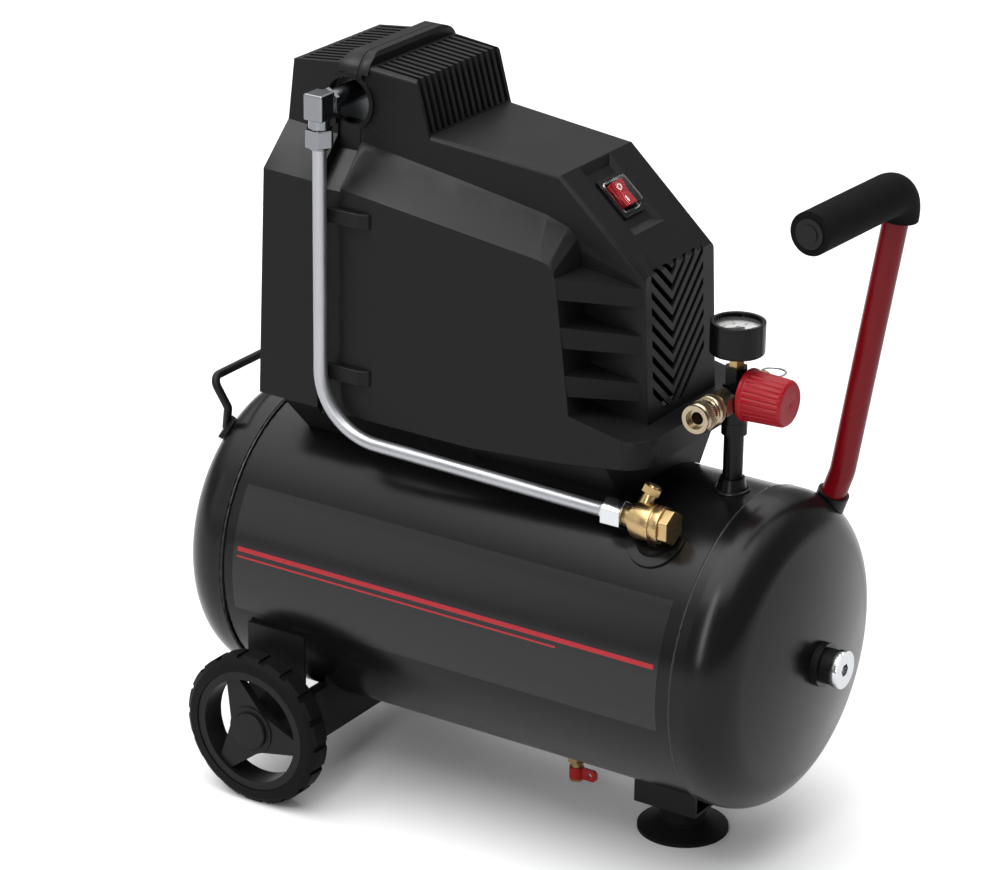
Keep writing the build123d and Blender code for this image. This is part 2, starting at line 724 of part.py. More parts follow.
def cover_shape(inset):
    """The cover's outside as one solid, or its cavity when inset is the wall thickness."""
    rear = cover_rear_x - 10
    seam = cover_seam_x
    front = cover_front_x + 2 - inset
    half_rear = narrow_half_rear - inset
    half_seam = narrow_half_seam - inset
    half_front = narrow_half_front - inset
    with BuildPart() as narrow:
        add(side_slab(inset_polygon(narrow_outline, inset), 70))
        with BuildSketch(Plane.XY.offset(deck_z + wide_bottom)):
            with BuildLine():
                Polyline((rear, -half_rear), (seam, -half_seam), (front, -half_front),
                         (front, half_front), (seam, half_seam), (rear, half_rear), close=True)
            make_face()
        extrude(amount=320, mode=Mode.INTERSECT)
        if inset == 0:
            for x0, x1 in ((-40, 120), (-110, -75)):
                edges = narrow.edges().filter_by(
                    lambda edge: edge.center().Z > 480 and abs(edge.center().Y) > 40
                    and tank_x + x0 < edge.center().X < tank_x + x1
                )
                fillet(edges, cover_edge_r)
    outer = inset_polygon(ledge_outer, inset)
    inner = inset_polygon(ledge_inner, inset)
    tray_x0 = tank_x + 40
    with BuildPart() as tray:
        with BuildSketch(Plane.XY.offset(deck_z + wide_bottom)):
            with Locations(((tray_x0 + tray_x1) / 2, 0)):
                RectangleRounded(tray_x1 - tray_x0 - 2 * inset, 2 * (cover_half - inset), 20 - inset)
        extrude(amount=80)
        add(side_slab(at_tank([(30, 72 - inset), (92, 66.5 - inset), (138.7, 57.5 - inset),
                               (170, 57.2 - inset), (170, 100), (30, 100)]), 100), mode=Mode.SUBTRACT)
    with BuildPart() as whole:
        add(narrow.part)
        add(side_slab(inner, narrow_half_front))
        for side in (-1, 1):
            add(ruled_side(outer, inner, side * (cover_half - inset), side * narrow_half_front))
        add(tray.part)
    return whole.part


def cover_apron(inset):
    """The tucked-in lower part of the cover, between its sides and the tank."""
    low = tank_z + sqrt(barrel_r**2 - cover_tuck_y**2) - 8
    half = cover_half - inset
    stations = ((apron_x0 + inset, cover_edge), (apron_x1, cover_edge), (apron_x2 - inset, apron_edge_front))
    with BuildPart() as apron:
        for first, last in zip(stations, stations[1:]):
            for x, edge in (first, last):
                with BuildSketch(Plane.YZ.offset(x)):
                    with BuildLine():
                        Polyline((-half, deck_z + edge), (-cover_tuck_y + inset, low),
                                 (cover_tuck_y - inset, low), (half, deck_z + edge),
                                 (half, deck_z + edge + 12), (-half, deck_z + edge + 12), close=True)
                    make_face()
            loft(ruled=True)
    return apron.part


# lower edge of the sides, rising towards the front
below_edge = side_slab(at_tank([(-210, 22), (-149, cover_edge), (4, 20.5), (85, 27), (138, 34),
                                (170, cover_edge_front), (170, -100), (-210, -100)]), 120)

# raised ridge along the seam, rolling over the front and back of the tall body
ridge_outline = at_tank([(-139.5, 290), (-139, 294), (-134, ridge_top - 2), (-130, ridge_top),
                         (-113, ridge_top),
                         (-110.5, ridge_top - 3), (-110.5, 290)])
with BuildPart() as ridge:
    add(side_slab(ridge_outline, narrow_half_seam + 2.5))
    with BuildSketch(Plane.YZ.offset(tank_x - 150)):
        with Locations((0, deck_z + ridge_top - 50)):
            RectangleRounded(2 * narrow_half_seam + 5, 100, 20)
    extrude(amount=60, mode=Mode.INTERSECT)
    for side in (-1, 1):
        band_y = side * (narrow_half_seam + 2.5)
        add(block(tank_x - 129, tank_x - 115.5, side * (narrow_half_seam - 4), band_y,
                  port_z + 8, deck_z + 290))

port_collar = stepped_rod((pipe_x, -narrow_half_seam + 4, port_z), (0, -1, 0),
                          [("round", port_r + port_rim, 6.5)])

# thicker wall behind the louvres and the switch pocket
slope_angle = atan2(slope_top[1] - slope_foot[1], slope_foot[0] - slope_top[0])
slope_plane = Plane(
    origin=(slope_top[0] + switch_along * cos(slope_angle), switch_y,
            slope_top[1] - switch_along * sin(slope_angle)),
    x_dir=(cos(slope_angle), 0, -sin(slope_angle)),
    z_dir=(sin(slope_angle), 0, cos(slope_angle)),
)
louvre_backing = side_slab(at_tank([(-110, 286), (-110, 300), (-68, 300), (-52, 248), (-64, 248),
                                    (-78, 286)]), narrow_half_seam - 1)
rear_backing = side_slab(at_tank([(-180, 283), (-180, 300), (-137, 300), (-137, 287)]), 57)
with BuildPart() as switch_backing:
    with BuildSketch(slope_plane.offset(-switch_pocket - 2.5)):
        Rectangle(72, 52)
    extrude(amount=switch_pocket + 2)


def channel_solid(inset, margin):
    """The pipe channel: up the side of the wide body, then up its ledge to the outlet port."""
    back = -channel_y + inset
    neck = -narrow_half_seam + 2.5 + inset
    with BuildPart() as solid:
        with BuildSketch(Plane.YZ.offset(channel_x0 - margin)):
            with BuildLine():
                Polyline((-100, deck_z + 10), (back, deck_z + 10), (back, deck_z + 201 - inset / 2),
                         (neck, deck_z + 227 - inset / 2), (neck, port_z - 15), (-100, port_z - 15),
                         close=True)
            make_face()
        extrude(amount=channel_x1 - channel_x0 + 2 * margin)
    return solid.part


def slat(top, side):
    """One of the plates that step out beside the front of the narrow body; its top falls forwards."""
    edge_x = 77.6 + (174 - top) * 0.127
    tip_y = cover_half - slat_reach
    fall = slat_fall / (slat_x1 - edge_x)
    taper = (slat_height - slat_inner_height) / (slat_x1 - edge_x)
    x0 = edge_x - 6
    x1 = slat_x1 + 10
    with BuildPart() as plate:
        with BuildSketch(Plane.XY.offset(deck_z)):
            with BuildLine():
                Polyline((tank_x + x0, -side * 40), (tank_x + x0, side * (cover_half - 0.2)),
                         (tank_x + edge_x, side * (cover_half - 0.2)),
                         (tank_x + slat_x1, side * tip_y), (tank_x + slat_x1, -side * 40), close=True)
            make_face()
        extrude(amount=200)
        with BuildSketch(Plane.XY.offset(deck_z)):
            Rectangle(1000, 90)
        extrude(amount=200, mode=Mode.SUBTRACT)
        add(side_slab(at_tank([
            (x0, top + 6 * fall),
            (x1, top - (x1 - edge_x) * fall),
            (x1, top - slat_height - (x1 - edge_x) * (fall - taper)),
            (x0, top - slat_height + 6 * (fall - taper)),
        ]), 120), mode=Mode.INTERSECT)
    return plate.part


cover_outside = cover_shape(0)
with BuildPart() as cavity:
    add(cover_shape(cover_wall))
    add(below_edge.moved(Location((0, 0, -0.5))), mode=Mode.SUBTRACT)
    add(louvre_backing, mode=Mode.SUBTRACT)
    add(rear_backing, mode=Mode.SUBTRACT)
    add(switch_backing.part, mode=Mode.SUBTRACT)
    add(cover_apron(cover_wall))
    add(channel_solid(cover_wall, cover_wall), mode=Mode.SUBTRACT)
    # the wall that closes the apron's front end, up to the tray
    add(block(apron_x2 - cover_wall, apron_x2, -cover_half, cover_half, deck_z - 30, deck_z + 60),
        mode=Mode.SUBTRACT)

with BuildPart() as cover:
    add(cover_outside)
    add(below_edge, mode=Mode.SUBTRACT)
    add(cover_apron(0))
    add(ridge.part)
    add(port_collar)
    for top in slat_tops:
        for side in (-1, 1):
            add(slat(top, side))
    add(cavity.part, mode=Mode.SUBTRACT)
    add(around_tank(barrel_r + weld_gap), mode=Mode.SUBTRACT)
    add(channel_solid(0, 0), mode=Mode.SUBTRACT)
    # louvres: slots over the top and down the short slanted face, and on the rear half
    for row in range(louvre_count):
        y = (row - (louvre_count - 1) / 2) * louvre_pitch
        with BuildSketch(Plane.XZ.offset(-y - louvre_slot / 2)):
            with BuildLine():
                Polyline(*at_tank([(-107, 312), (-107, 284), (-80, 284), (-62, 251.5), (-40, 249.8),
                                   (-40, 312)]), close=True)
            make_face()
            with BuildLine():
                Polyline(*at_tank([(-177, 312), (-177, 280), (-143, 284), (-143, 312)]), close=True)
            make_face()
        extrude(amount=louvre_slot, mode=Mode.SUBTRACT)
    # the hole for the cable gland, in the rear wall
    with BuildSketch(Plane.YZ.offset(tank_x - 210)):
        with Locations((gland_y, gland_z)):
            Circle(gland_r + slide_gap)
    extrude(amount=30, mode=Mode.SUBTRACT)
    # the port for the outlet pipe
    with BuildSketch(Plane.XZ.offset(narrow_half_seam - 10)):
        with Locations((pipe_x, port_z)):
            Circle(port_r)
    extrude(amount=20, mode=Mode.SUBTRACT)
    # chevron grille on the front end
    rise = 52 * 0.93
    grille_open = grille_slot * 1.37
    with BuildSketch(Plane.YZ.offset(tank_x + 120)):
        for row in range(12):
            z = deck_z + 52 + row * grille_pitch
            with BuildLine():
                Polyline((grille_apex_y - 52, z + rise), (grille_apex_y, z), (grille_apex_y + 52, z + rise),
                         (grille_apex_y + 52, z + rise + grille_open), (grille_apex_y, z + grille_open),
                         (grille_apex_y - 52, z + rise + grille_open), close=True)
            make_face()
        with Locations((-4, deck_z + 120)):
            Rectangle(2 * grille_half, 112, mode=Mode.INTERSECT)
    extrude(amount=30, mode=Mode.SUBTRACT)
    # bevelled pocket for the switch, with an opening through its floor
    with BuildSketch(slope_plane.offset(-switch_pocket)):
        Rectangle(switch_length + 16, switch_width + 6)
    with BuildSketch(slope_plane.offset(0.5)):
        Rectangle(switch_length + 32, switch_width + 16)
    loft(mode=Mode.SUBTRACT)
    with BuildSketch(slope_plane.offset(-20)):
        Rectangle(switch_length - 5, switch_width - 5)
    extrude(amount=30, mode=Mode.SUBTRACT)

seam_half = cover_seam_gap / 2
with BuildPart() as cover_rear:
    add(cover.part)
    add(block(tank_x - 260, cover_seam_x - seam_half, -120, 120, deck_z - 50, deck_z + 340),
        mode=Mode.INTERSECT)
save(cover_rear.part, "cover_rear")
with BuildPart() as cover_front:
    add(cover.part)
    add(block(cover_seam_x + seam_half, tank_x + 200, -120, 120, deck_z - 50, deck_z + 340),
        mode=Mode.INTERSECT)
save(cover_front.part, "cover_front")

# clips that hold the two halves together across the seam
clip_proud = 5.2
with BuildPart() as cover_clips:
    for side in (-1, 1):
        for z0, z1 in ((deck_z + 178.5, deck_z + 190.5), (deck_z + 50, deck_z + 62.5)):
            with BuildSketch(Plane.XY.offset(z0)):
                with BuildLine():
                    Polyline((tank_x - 132, side * cover_half),
                             (tank_x - 130, side * (cover_half + clip_proud)),
                             (tank_x - 98, side * (cover_half + clip_proud)),
                             (tank_x - 90, side * (cover_half + 2)), (tank_x - 89, side * cover_half),
                             close=True)
                make_face()
            extrude(amount=z1 - z0)
save(cover_clips.part, "cover_clips")

# ---------------------------------------------------------------- switch
rocker_pin_length = rocker_width + 5.0
rocker_pin_start = slope_plane.origin - slope_plane.z_dir * (switch_pocket + 3)
rocker_pin_start = rocker_pin_start - Vector(0, rocker_pin_length / 2, 0)
with BuildPart() as switch_bezel:
    with BuildSketch(slope_plane.offset(-switch_pocket)):
        RectangleRounded(switch_length, switch_width, 2)
        Rectangle(rocker_length + 2 * rocker_gap, rocker_width + 1.0, mode=Mode.SUBTRACT)
    extrude(amount=switch_flange)
    with BuildSketch(slope_plane.offset(-switch_pocket - 14)):
        Rectangle(switch_length - 5.6, switch_width - 5.6)
        Rectangle(rocker_length + 2 * rocker_gap, rocker_width + 1.0, mode=Mode.SUBTRACT)
    extrude(amount=14)
    add(stepped_rod(rocker_pin_start - Vector(0, fit_gap, 0), (0, 1, 0),
                    [("round", rocker_pin_r + fit_gap, rocker_pin_length + 2 * fit_gap)]), mode=Mode.SUBTRACT)
save(switch_bezel.part, "switch_bezel")

# the rocker turns about the switch's middle, across the slope
with BuildPart() as switch_rocker:
    with BuildSketch(Plane(origin=slope_plane.origin + slope_plane.z_dir * (-switch_pocket - 3),
                           x_dir=slope_plane.x_dir, z_dir=(0, -1, 0)).offset(-rocker_width / 2)):
        with BuildLine():
            Polyline((-10.6, 2.0), (-10.6, 10.6), (0, 8.0), (10.6, 8.6), (10.6, 5.0), (0, -2.5), close=True)
        make_face()
    extrude(amount=rocker_width)
    add(stepped_rod(rocker_pin_start, (0, 1, 0), [("round", rocker_pin_r, rocker_pin_length)]))
save(switch_rocker.part, "switch_rocker")

with BuildPart() as switch_body:
    with BuildSketch(slope_plane.offset(-switch_pocket - 32)):
        Rectangle(switch_length - 5.6, switch_width - 5.6)
    extrude(amount=17.7)
    for shift in (-9, 0, 9):
        with BuildSketch(slope_plane.offset(-switch_pocket - 40)):
            with Locations((shift, 0)):
                Rectangle(0.8, 6.3)
        extrude(amount=9)
save(switch_body.part, "switch_body")

# ---------------------------------------------------------------- outlet pipe
nut_z1 = elbow_z - elbow_size[2] / 2 - 7.0
with BuildPart() as outlet_elbow:
    add(block(pipe_x - elbow_size[0] / 2, pipe_x + elbow_size[0] / 2, pipe_y - elbow_size[1] / 2,
              pipe_y + elbow_size[1] / 2, elbow_z - elbow_size[2] / 2, elbow_z + elbow_size[2] / 2))
    fillet(outlet_elbow.edges(), 1.5)
    add(stepped_rod((pipe_x, pipe_y, elbow_z), (0, 0, -1), [("round", 8.3, elbow_size[2] / 2 + 7.0)]))
    add(stepped_rod((pipe_x, pipe_y, elbow_z), (0, 1, 0),
                    [("round", nipple_r, elbow_size[1] / 2), ("hex", 20.0, 4.0),
                     ("round", nipple_r, -pipe_y - elbow_size[1] / 2 - 42.0),
                     ("round", nipple_spigot_r, 7.0)]))
    add(stepped_rod((pipe_x, pipe_y, elbow_z), (0, 1, 0), [("round", 3.5, -pipe_y - 30.0)]),
        mode=Mode.SUBTRACT)
    add(stepped_rod((pipe_x, pipe_y, elbow_z + 2), (0, 0, -1), [("round", 4.5, 30.0)]), mode=Mode.SUBTRACT)
save(outlet_elbow.part, "outlet_elbow")

with BuildPart() as outlet_nut:
    add(stepped_rod((pipe_x, pipe_y, nut_z1 - weld_gap), (0, 0, -1),
                    [("hex", nut_af, nut_length - 2), ("round", 8.2, 2.0)], pipe_r + 0.2))
save(outlet_nut.part, "outlet_nut")

pipe_top = (pipe_x, pipe_y, nut_z1 - 0.5)
pipe_low = (pipe_x, pipe_y, pipe_low_z)
pipe_join = (valve_in_x - 28.0, valve_y, valve_z)
pipe_end = (valve_in_x - 6.0, valve_y, valve_z)
with BuildPart() as delivery_pipe:
    add(tube_along(bent_path([pipe_top, pipe_low, pipe_join, pipe_end], [pipe_bend_r, 80.0]),
                   pipe_r, pipe_r - pipe_wall))
save(delivery_pipe.part, "delivery_pipe")

# ---------------------------------------------------------------- check valve
with BuildPart() as valve_nut:
    add(stepped_rod((valve_in_x - weld_gap, valve_y, valve_z), (-1, 0, 0),
                    [("hex", 21.0, 17.0), ("round", 8.5, 2.5)]))
    with BuildSketch(Plane.YZ.offset(valve_in_x - 30)):
        with Locations((valve_y, valve_z)):
            Circle(pipe_r + 0.9)
    extrude(amount=40, mode=Mode.SUBTRACT)
save(valve_nut.part, "valve_nut")

unloader_direction = Vector(0.25, 0.3, 0.8).normalized()
unloader_start = Vector(valve_x - 13, valve_y, valve_z)
with BuildPart() as check_valve:
    add(stepped_rod((valve_in_x, valve_y, valve_z), (1, 0, 0),
                    [("round", 8.0, 7.0), ("round", valve_r - 3, 2.0), ("round", valve_r - 1, 3.0),
                     ("round", valve_r, 14.0), ("round", valve_r - 1.2, 2.0), ("round", valve_r, 6.0)]))
    add(stepped_rod(tuple(valve_centre), tuple(-outlet_axis),
                    [("round", outlet_spigot_r, valve_r + outlet_length)]))
    add(stepped_rod(tuple(unloader_start), tuple(unloader_direction), [("round", 5.8, 22.0)]))
    add(stepped_rod((valve_in_x - 1, valve_y, valve_z), (1, 0, 0), [("round", valve_bore_r, 28.0)]),
        mode=Mode.SUBTRACT)
    add(stepped_rod(tuple(valve_centre), tuple(-outlet_axis), [("round", valve_bore_r, 30.0)]),
        mode=Mode.SUBTRACT)
    add(barrel_outside, mode=Mode.SUBTRACT)
save(check_valve.part, "check_valve")

with BuildPart() as valve_cap:
    add(stepped_rod((valve_in_x + 34.0, valve_y, valve_z), (1, 0, 0), [("hex", 24.0, 8.0)]))
save(valve_cap.part, "valve_cap")

unloader_top = unloader_start + unloader_direction * 22.0
with BuildPart() as unloader_plug:
    add(stepped_rod(tuple(unloader_top), tuple(unloader_direction),
                    [("hex", 13.5, 5.5), ("round", 5.0, 1.5)]))
save(unloader_plug.part, "unloader_plug")

# ---------------------------------------------------------------- regulator column
body_r = 10.0
body_z0 = regulator_z - 20.4
body_z1 = regulator_z + 10.4
with BuildPart() as riser_tube:
    add(stepped_rod((riser_x, 0, deck_z + 1.5), (0, 0, 1),
                    [("round", riser_r, body_z0 - deck_z - 11.5), ("round", riser_r + 2.3, 9.7)],
                    riser_bore_r))
save(riser_tube.part, "riser_tube")

with BuildPart() as regulator_body:
    add(stepped_rod((riser_x, 0, body_z0), (0, 0, 1), [("round", body_r, body_z1 - body_z0)]))
    add(stepped_rod((riser_x, -16.0, regulator_z), (0, 1, 0), [("round", body_r, 34.0)]))
    add(stepped_rod((riser_x, 0, knob_z), (1, 0, 0), [("round", 7.0, 9.6), ("round", 14.4, 20.0)]))
    add(stepped_rod((riser_x, 0, body_z0 - 1), (0, 0, 1), [("round", riser_bore_r, 21.0)]),
        mode=Mode.SUBTRACT)
    add(stepped_rod((riser_x, -17, regulator_z), (0, 1, 0), [("round", riser_bore_r, 17.0)]),
        mode=Mode.SUBTRACT)
save(regulator_body.part, "regulator_body")

knob_x0 = riser_x + 10.6
with BuildPart() as regulator_knob:
    with BuildSketch(Plane(origin=(knob_x0, 0, knob_z), x_dir=(1, 0, 0), z_dir=(0, -1, 0))):
        with BuildLine():
            Polyline((0, 0), (0, knob_r), (2.5, knob_r), (4.0, knob_r - 1.2), (34.0, knob_end_r + 0.4),
                     (36.5, knob_end_r - 2.0), (36.5, 0), close=True)
        make_face()
    revolve(axis=Axis((0, 0, knob_z), (1, 0, 0)))
    with BuildSketch(Plane.YZ.offset(knob_x0)):
        with Locations((0, knob_z)):
            Circle(14.4 + fit_gap)
    extrude(amount=19.5, mode=Mode.SUBTRACT)
    with BuildSketch(Plane.YZ.offset(knob_x0 + 5)):
        with Locations((0, knob_z)):
            with PolarLocations(knob_r - 0.6, knob_ribs):
                Circle(1.15)
    extrude(amount=34, mode=Mode.SUBTRACT)
save(regulator_knob.part, "regulator_knob")

gauge_stem_z = gauge_z0 - 11.0
with BuildPart() as regulator_top:
    add(stepped_rod((riser_x, 0, body_z1), (0, 0, 1), [("hex", 16.2, gauge_stem_z - body_z1)]))
save(regulator_top.part, "regulator_top")

with BuildPart() as gauge_stem:
    add(stepped_rod((riser_x, 0, gauge_stem_z), (0, 0, 1), [("hex", 11.0, 6.0), ("round", 5.0, 5.0)]))
save(gauge_stem.part, "gauge_stem")

dial_z = gauge_z0 + 18.0
gauge_top = gauge_z0 + gauge_height
with BuildPart() as gauge_case:
    add(stepped_rod((riser_x, 0, gauge_z0), (0, 0, 1), [("round", gauge_r, gauge_height - 3.5)]))
    fillet(gauge_case.edges().group_by(Axis.Z)[0], 2.0)
    add(stepped_rod((riser_x, 0, dial_z - 1.0), (0, 0, 1), [("round", gauge_r - 1.4, 20.0)]),
        mode=Mode.SUBTRACT)
save(gauge_case.part, "gauge_case")

with BuildPart() as gauge_dial:
    add(stepped_rod((riser_x, 0, dial_z - 1.0), (0, 0, 1), [("round", gauge_r - 1.7, 1.0)], 0.85))
save(gauge_dial.part, "gauge_dial")

with BuildPart() as gauge_needle:
    add(stepped_rod((riser_x, 0, dial_z - 0.9), (0, 0, 1), [("round", 0.8, 1.5), ("round", 2.2, 0.9)]))
    with BuildSketch(Plane.XY.offset(dial_z + 0.6)):
        with Locations(Location((riser_x, 0, 0), (0, 0, 1), 225)):
            Polygon((-5, -1.1), (-5, 1.1), (14.5, 0.25), (14.5, -0.25), align=None)
    extrude(amount=0.7)
save(gauge_needle.part, "gauge_needle")

with BuildPart() as gauge_lens:
    add(stepped_rod((riser_x, 0, gauge_top - 3.4), (0, 0, 1), [("round", gauge_r - 0.4, 1.4)]))
save(gauge_lens.part, "gauge_lens")

with BuildPart() as gauge_bezel:
    add(stepped_rod((riser_x, 0, gauge_top - 3.4), (0, 0, 1), [("round", gauge_r, 3.4)]))
    add(stepped_rod((riser_x, 0, gauge_top - 3.5), (0, 0, 1), [("round", gauge_r - 0.35, 1.6)]),
        mode=Mode.SUBTRACT)
    add(stepped_rod((riser_x, 0, gauge_top - 3.5), (0, 0, 1), [("round", gauge_r - 3.2, 8)]),
        mode=Mode.SUBTRACT)
    fillet(gauge_bezel.edges().group_by(Axis.Z)[-1], 0.8)
save(gauge_bezel.part, "gauge_bezel")

# quick coupler: the sleeve slides back on the body to let a plug go
coupler_core_r = 9.4
sleeve_y1 = -35.0
with BuildPart() as coupler_body:
    add(stepped_rod((riser_x, -16.2, regulator_z), (0, -1, 0),
                    [("hex", 20.0, 13.8), ("round", coupler_core_r, -coupler_end_y - 31.6),
                     ("round", 11.0, 1.6)]))
    add(stepped_rod((riser_x, coupler_end_y - 1, regulator_z), (0, 1, 0),
                    [("round", coupler_mouth_r, coupler_mouth_depth + 1),
                     ("round", coupler_bore_r, coupler_bore_depth)]),
        mode=Mode.SUBTRACT)
    add(stepped_rod((riser_x, -15, regulator_z), (0, -1, 0), [("round", 2.5, 30.0)]), mode=Mode.SUBTRACT)
save(coupler_body.part, "coupler_body")

with BuildPart() as coupler_sleeve:
    add(stepped_rod((riser_x, sleeve_y1, regulator_z), (0, -1, 0),
                    [("round", coupler_sleeve_r, 6.0), ("round", coupler_sleeve_r - 0.9, 9.0),
                     ("round", coupler_sleeve_r, 9.0)], coupler_core_r + fit_gap))
save(coupler_sleeve.part, "coupler_sleeve")

# safety valve with a pull ring
with BuildPart() as safety_valve:
    add(stepped_rod((riser_x, 18.2, regulator_z), (0, 1, 0),
                    [("round", 5.0, 4.0), ("hex", 12.0, 7.0), ("round", 6.0, 16.0)]))
    add(stepped_rod((riser_x, 35.0, regulator_z), (0, 1, 0), [("round", 1.5 + fit_gap, 20.0)]),
        mode=Mode.SUBTRACT)
save(safety_valve.part, "safety_valve")

with BuildPart() as safety_pin:
    add(stepped_rod((riser_x, 36.0, regulator_z), (0, 1, 0), [("round", 1.5, 9.4), ("round", 3.0, 4.0)]))
    with BuildSketch(Plane(origin=(riser_x, 58.5, regulator_z), x_dir=(0, 1, 0), z_dir=(1, 0, 0))):
        with Locations((9.5, 0)):
            Circle(0.9)
    revolve(axis=Axis((riser_x, 58.5, regulator_z), (0, 0, 1)))
save(safety_pin.part, "safety_pin")

with BuildPart() as cable_gland:
    add(stepped_rod((cover_rear_x - 9.5, gland_y, gland_z), (1, 0, 0),
                    [("round", gland_r + 1.5, 3.0), ("hex", 22.0, 5.5), ("round", gland_r, 14.0)], 4.0))
save(cable_gland.part, "cable_gland")

# ---------------------------------------------------------------- pump and motor
base_top = base_z + base_sheet
case_x0 = tank_x - 165.0
case_x1 = tank_x - 97.0
case_wall = 7.0
case_half = 50.0
case_top = crank_z + 68.0
stator_x0 = tank_x - 85.0
stator_x1 = tank_x - 15.0
rod_thick = 14.0
rod_eye_r = 2 * crank_throw + crank_pin_r + 1.0

with BuildPart() as pump_base:
    add(block(tank_x - 165, tank_x + 86, -46, 46, base_z, base_top))
    for x in (stator_x0 + 10, stator_x1 - 15):
        add(block(x, x + 5, -42, 42, base_top, crank_z - 25))
    add(block(tank_x + 20, tank_x + 28, -26, 26, base_top, crank_z + 22))
    add(stepped_rod((stator_x0 - 5, 0, crank_z), (1, 0, 0), [("round", stator_r + weld_gap, 80.0)]),
        mode=Mode.SUBTRACT)
    add(stepped_rod((tank_x + 10, 0, crank_z), (1, 0, 0), [("round", shaft_r + fit_gap, 30.0)]),
        mode=Mode.SUBTRACT)
save(pump_base.part, "pump_base")

with BuildPart() as rubber_mounts:
    for x in saddle_xs:
        for y in (-mount_y, mount_y):
            add(stepped_rod((x, y, saddle_z), (0, 0, 1), [("round", mount_r, base_z - saddle_z)]))
save(rubber_mounts.part, "rubber_mounts")

with BuildPart() as pump_body:
    add(block(case_x0, case_x1, -case_half, case_half, base_top, case_top))
    add(block(case_x0 + case_wall, case_x1 - case_wall, 4 - case_half, case_half - 4,
              base_top + 16, case_top - 6), mode=Mode.SUBTRACT)
    add(stepped_rod((cylinder_x, 0, case_top - 1), (0, 0, 1),
                    [("round", cylinder_bore_r + 3.5, cylinder_top - case_top + 1)]))
    for fin in range(8):
        add(stepped_rod((cylinder_x, 0, case_top + 8 + 8 * fin), (0, 0, 1), [("round", 40.0, 2.5)]))
    add(stepped_rod((cylinder_x, 0, case_top - 10), (0, 0, 1), [("round", cylinder_bore_r, 100.0)]),
        mode=Mode.SUBTRACT)
    add(stepped_rod((case_x1 - case_wall - 1, 0, crank_z), (1, 0, 0), [("round", shaft_r + fit_gap, 20.0)]),
        mode=Mode.SUBTRACT)
save(pump_body.part, "pump_body")

with BuildPart() as cylinder_head:
    add(block(cylinder_x - 35, cylinder_x + 35, -36, 36, cylinder_top, head_top))
    fillet(cylinder_head.edges().filter_by(Axis.Z), 8)
    for fin in range(5):
        x = cylinder_x - 28 + 14 * fin
        add(block(x - 4, x + 4, -40, 28, head_top - 6, head_top + 5), mode=Mode.SUBTRACT)
    add(stepped_rod((cylinder_x, 0, cylinder_top - 1), (0, 0, 1), [("round", 22.0, 20.0)]),
        mode=Mode.SUBTRACT)
    add(stepped_rod((pipe_x, -50, elbow_z), (0, 1, 0), [("round", nipple_spigot_r + fit_gap, 19.2)]),
        mode=Mode.SUBTRACT)
    add(stepped_rod((pipe_x, -35, elbow_z - 8), (0, 1, 0), [("round", 3.0, 20.0)]), mode=Mode.SUBTRACT)
save(cylinder_head.part, "cylinder_head")

with BuildPart() as motor_stator:
    add(stepped_rod((stator_x0, 0, crank_z), (1, 0, 0), [("round", stator_r, stator_x1 - stator_x0)],
                    rotor_r + air_gap))
save(motor_stator.part, "motor_stator")

with BuildPart() as motor_rotor:
    add(stepped_rod((tank_x - 112, 0, crank_z), (1, 0, 0), [("round", shaft_r, 218.0)]))
    add(stepped_rod((stator_x0, 0, crank_z), (1, 0, 0), [("round", rotor_r, stator_x1 - stator_x0)]))
    add(stepped_rod((tank_x - 116, 0, crank_z), (1, 0, 0), [("round", 22.0, 8.0)]))
    add(stepped_rod((tank_x - 140, 0, crank_z + crank_throw), (1, 0, 0), [("round", crank_pin_r, 25.0)]))
save(motor_rotor.part, "motor_rotor")

fan_x0 = tank_x + 84.0
fan_depth = 18.0
fan_bore_r = shaft_r + 0.02
with BuildPart() as motor_fan:
    add(stepped_rod((fan_x0, 0, crank_z), (1, 0, 0), [("round", 16.0, fan_depth)], fan_bore_r))
    add(stepped_rod((fan_x0, 0, crank_z), (1, 0, 0), [("round", fan_r, 2.0)], fan_bore_r))
    with BuildSketch(Plane.YZ.offset(fan_x0)):
        with Locations((0, crank_z)):
            with PolarLocations((fan_r + 14) / 2, 9):
                Rectangle(fan_r - 14, 2.2)
    extrude(amount=fan_depth)
save(motor_fan.part, "motor_fan")

piston_z = crank_z + 99.0
with BuildPart() as piston_rod:
    add(stepped_rod((cylinder_x - rod_thick / 2, 0, crank_z), (1, 0, 0),
                    [("round", rod_eye_r + 5, rod_thick)]))
    add(block(cylinder_x - 6, cylinder_x + 6, -8, 8, crank_z + rod_eye_r, piston_z + 2))
    add(stepped_rod((cylinder_x, 0, piston_z), (0, 0, 1),
                    [("round", cylinder_bore_r - piston_clearance, 10.0)]))
    add(stepped_rod((cylinder_x - 20, 0, crank_z), (1, 0, 0), [("round", rod_eye_r, 40.0)]),
        mode=Mode.SUBTRACT)
save(piston_rod.part, "piston_rod")
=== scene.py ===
"""Looks of the portable air compressor: a finish for every piece, a fluted knob and a knurled coupler
sleeve in place of the plainer solids, the gauge's scale, the switch's clear cap and marks, a film and
plain stripes on the tank, weld beads, the motor's windings, and a white studio. Lengths are in metres
in the model's own frame, unless their name or a comment says millimetres."""
import json
import math
from random import Random

import bmesh
import bpy
from mathutils import Matrix, Vector


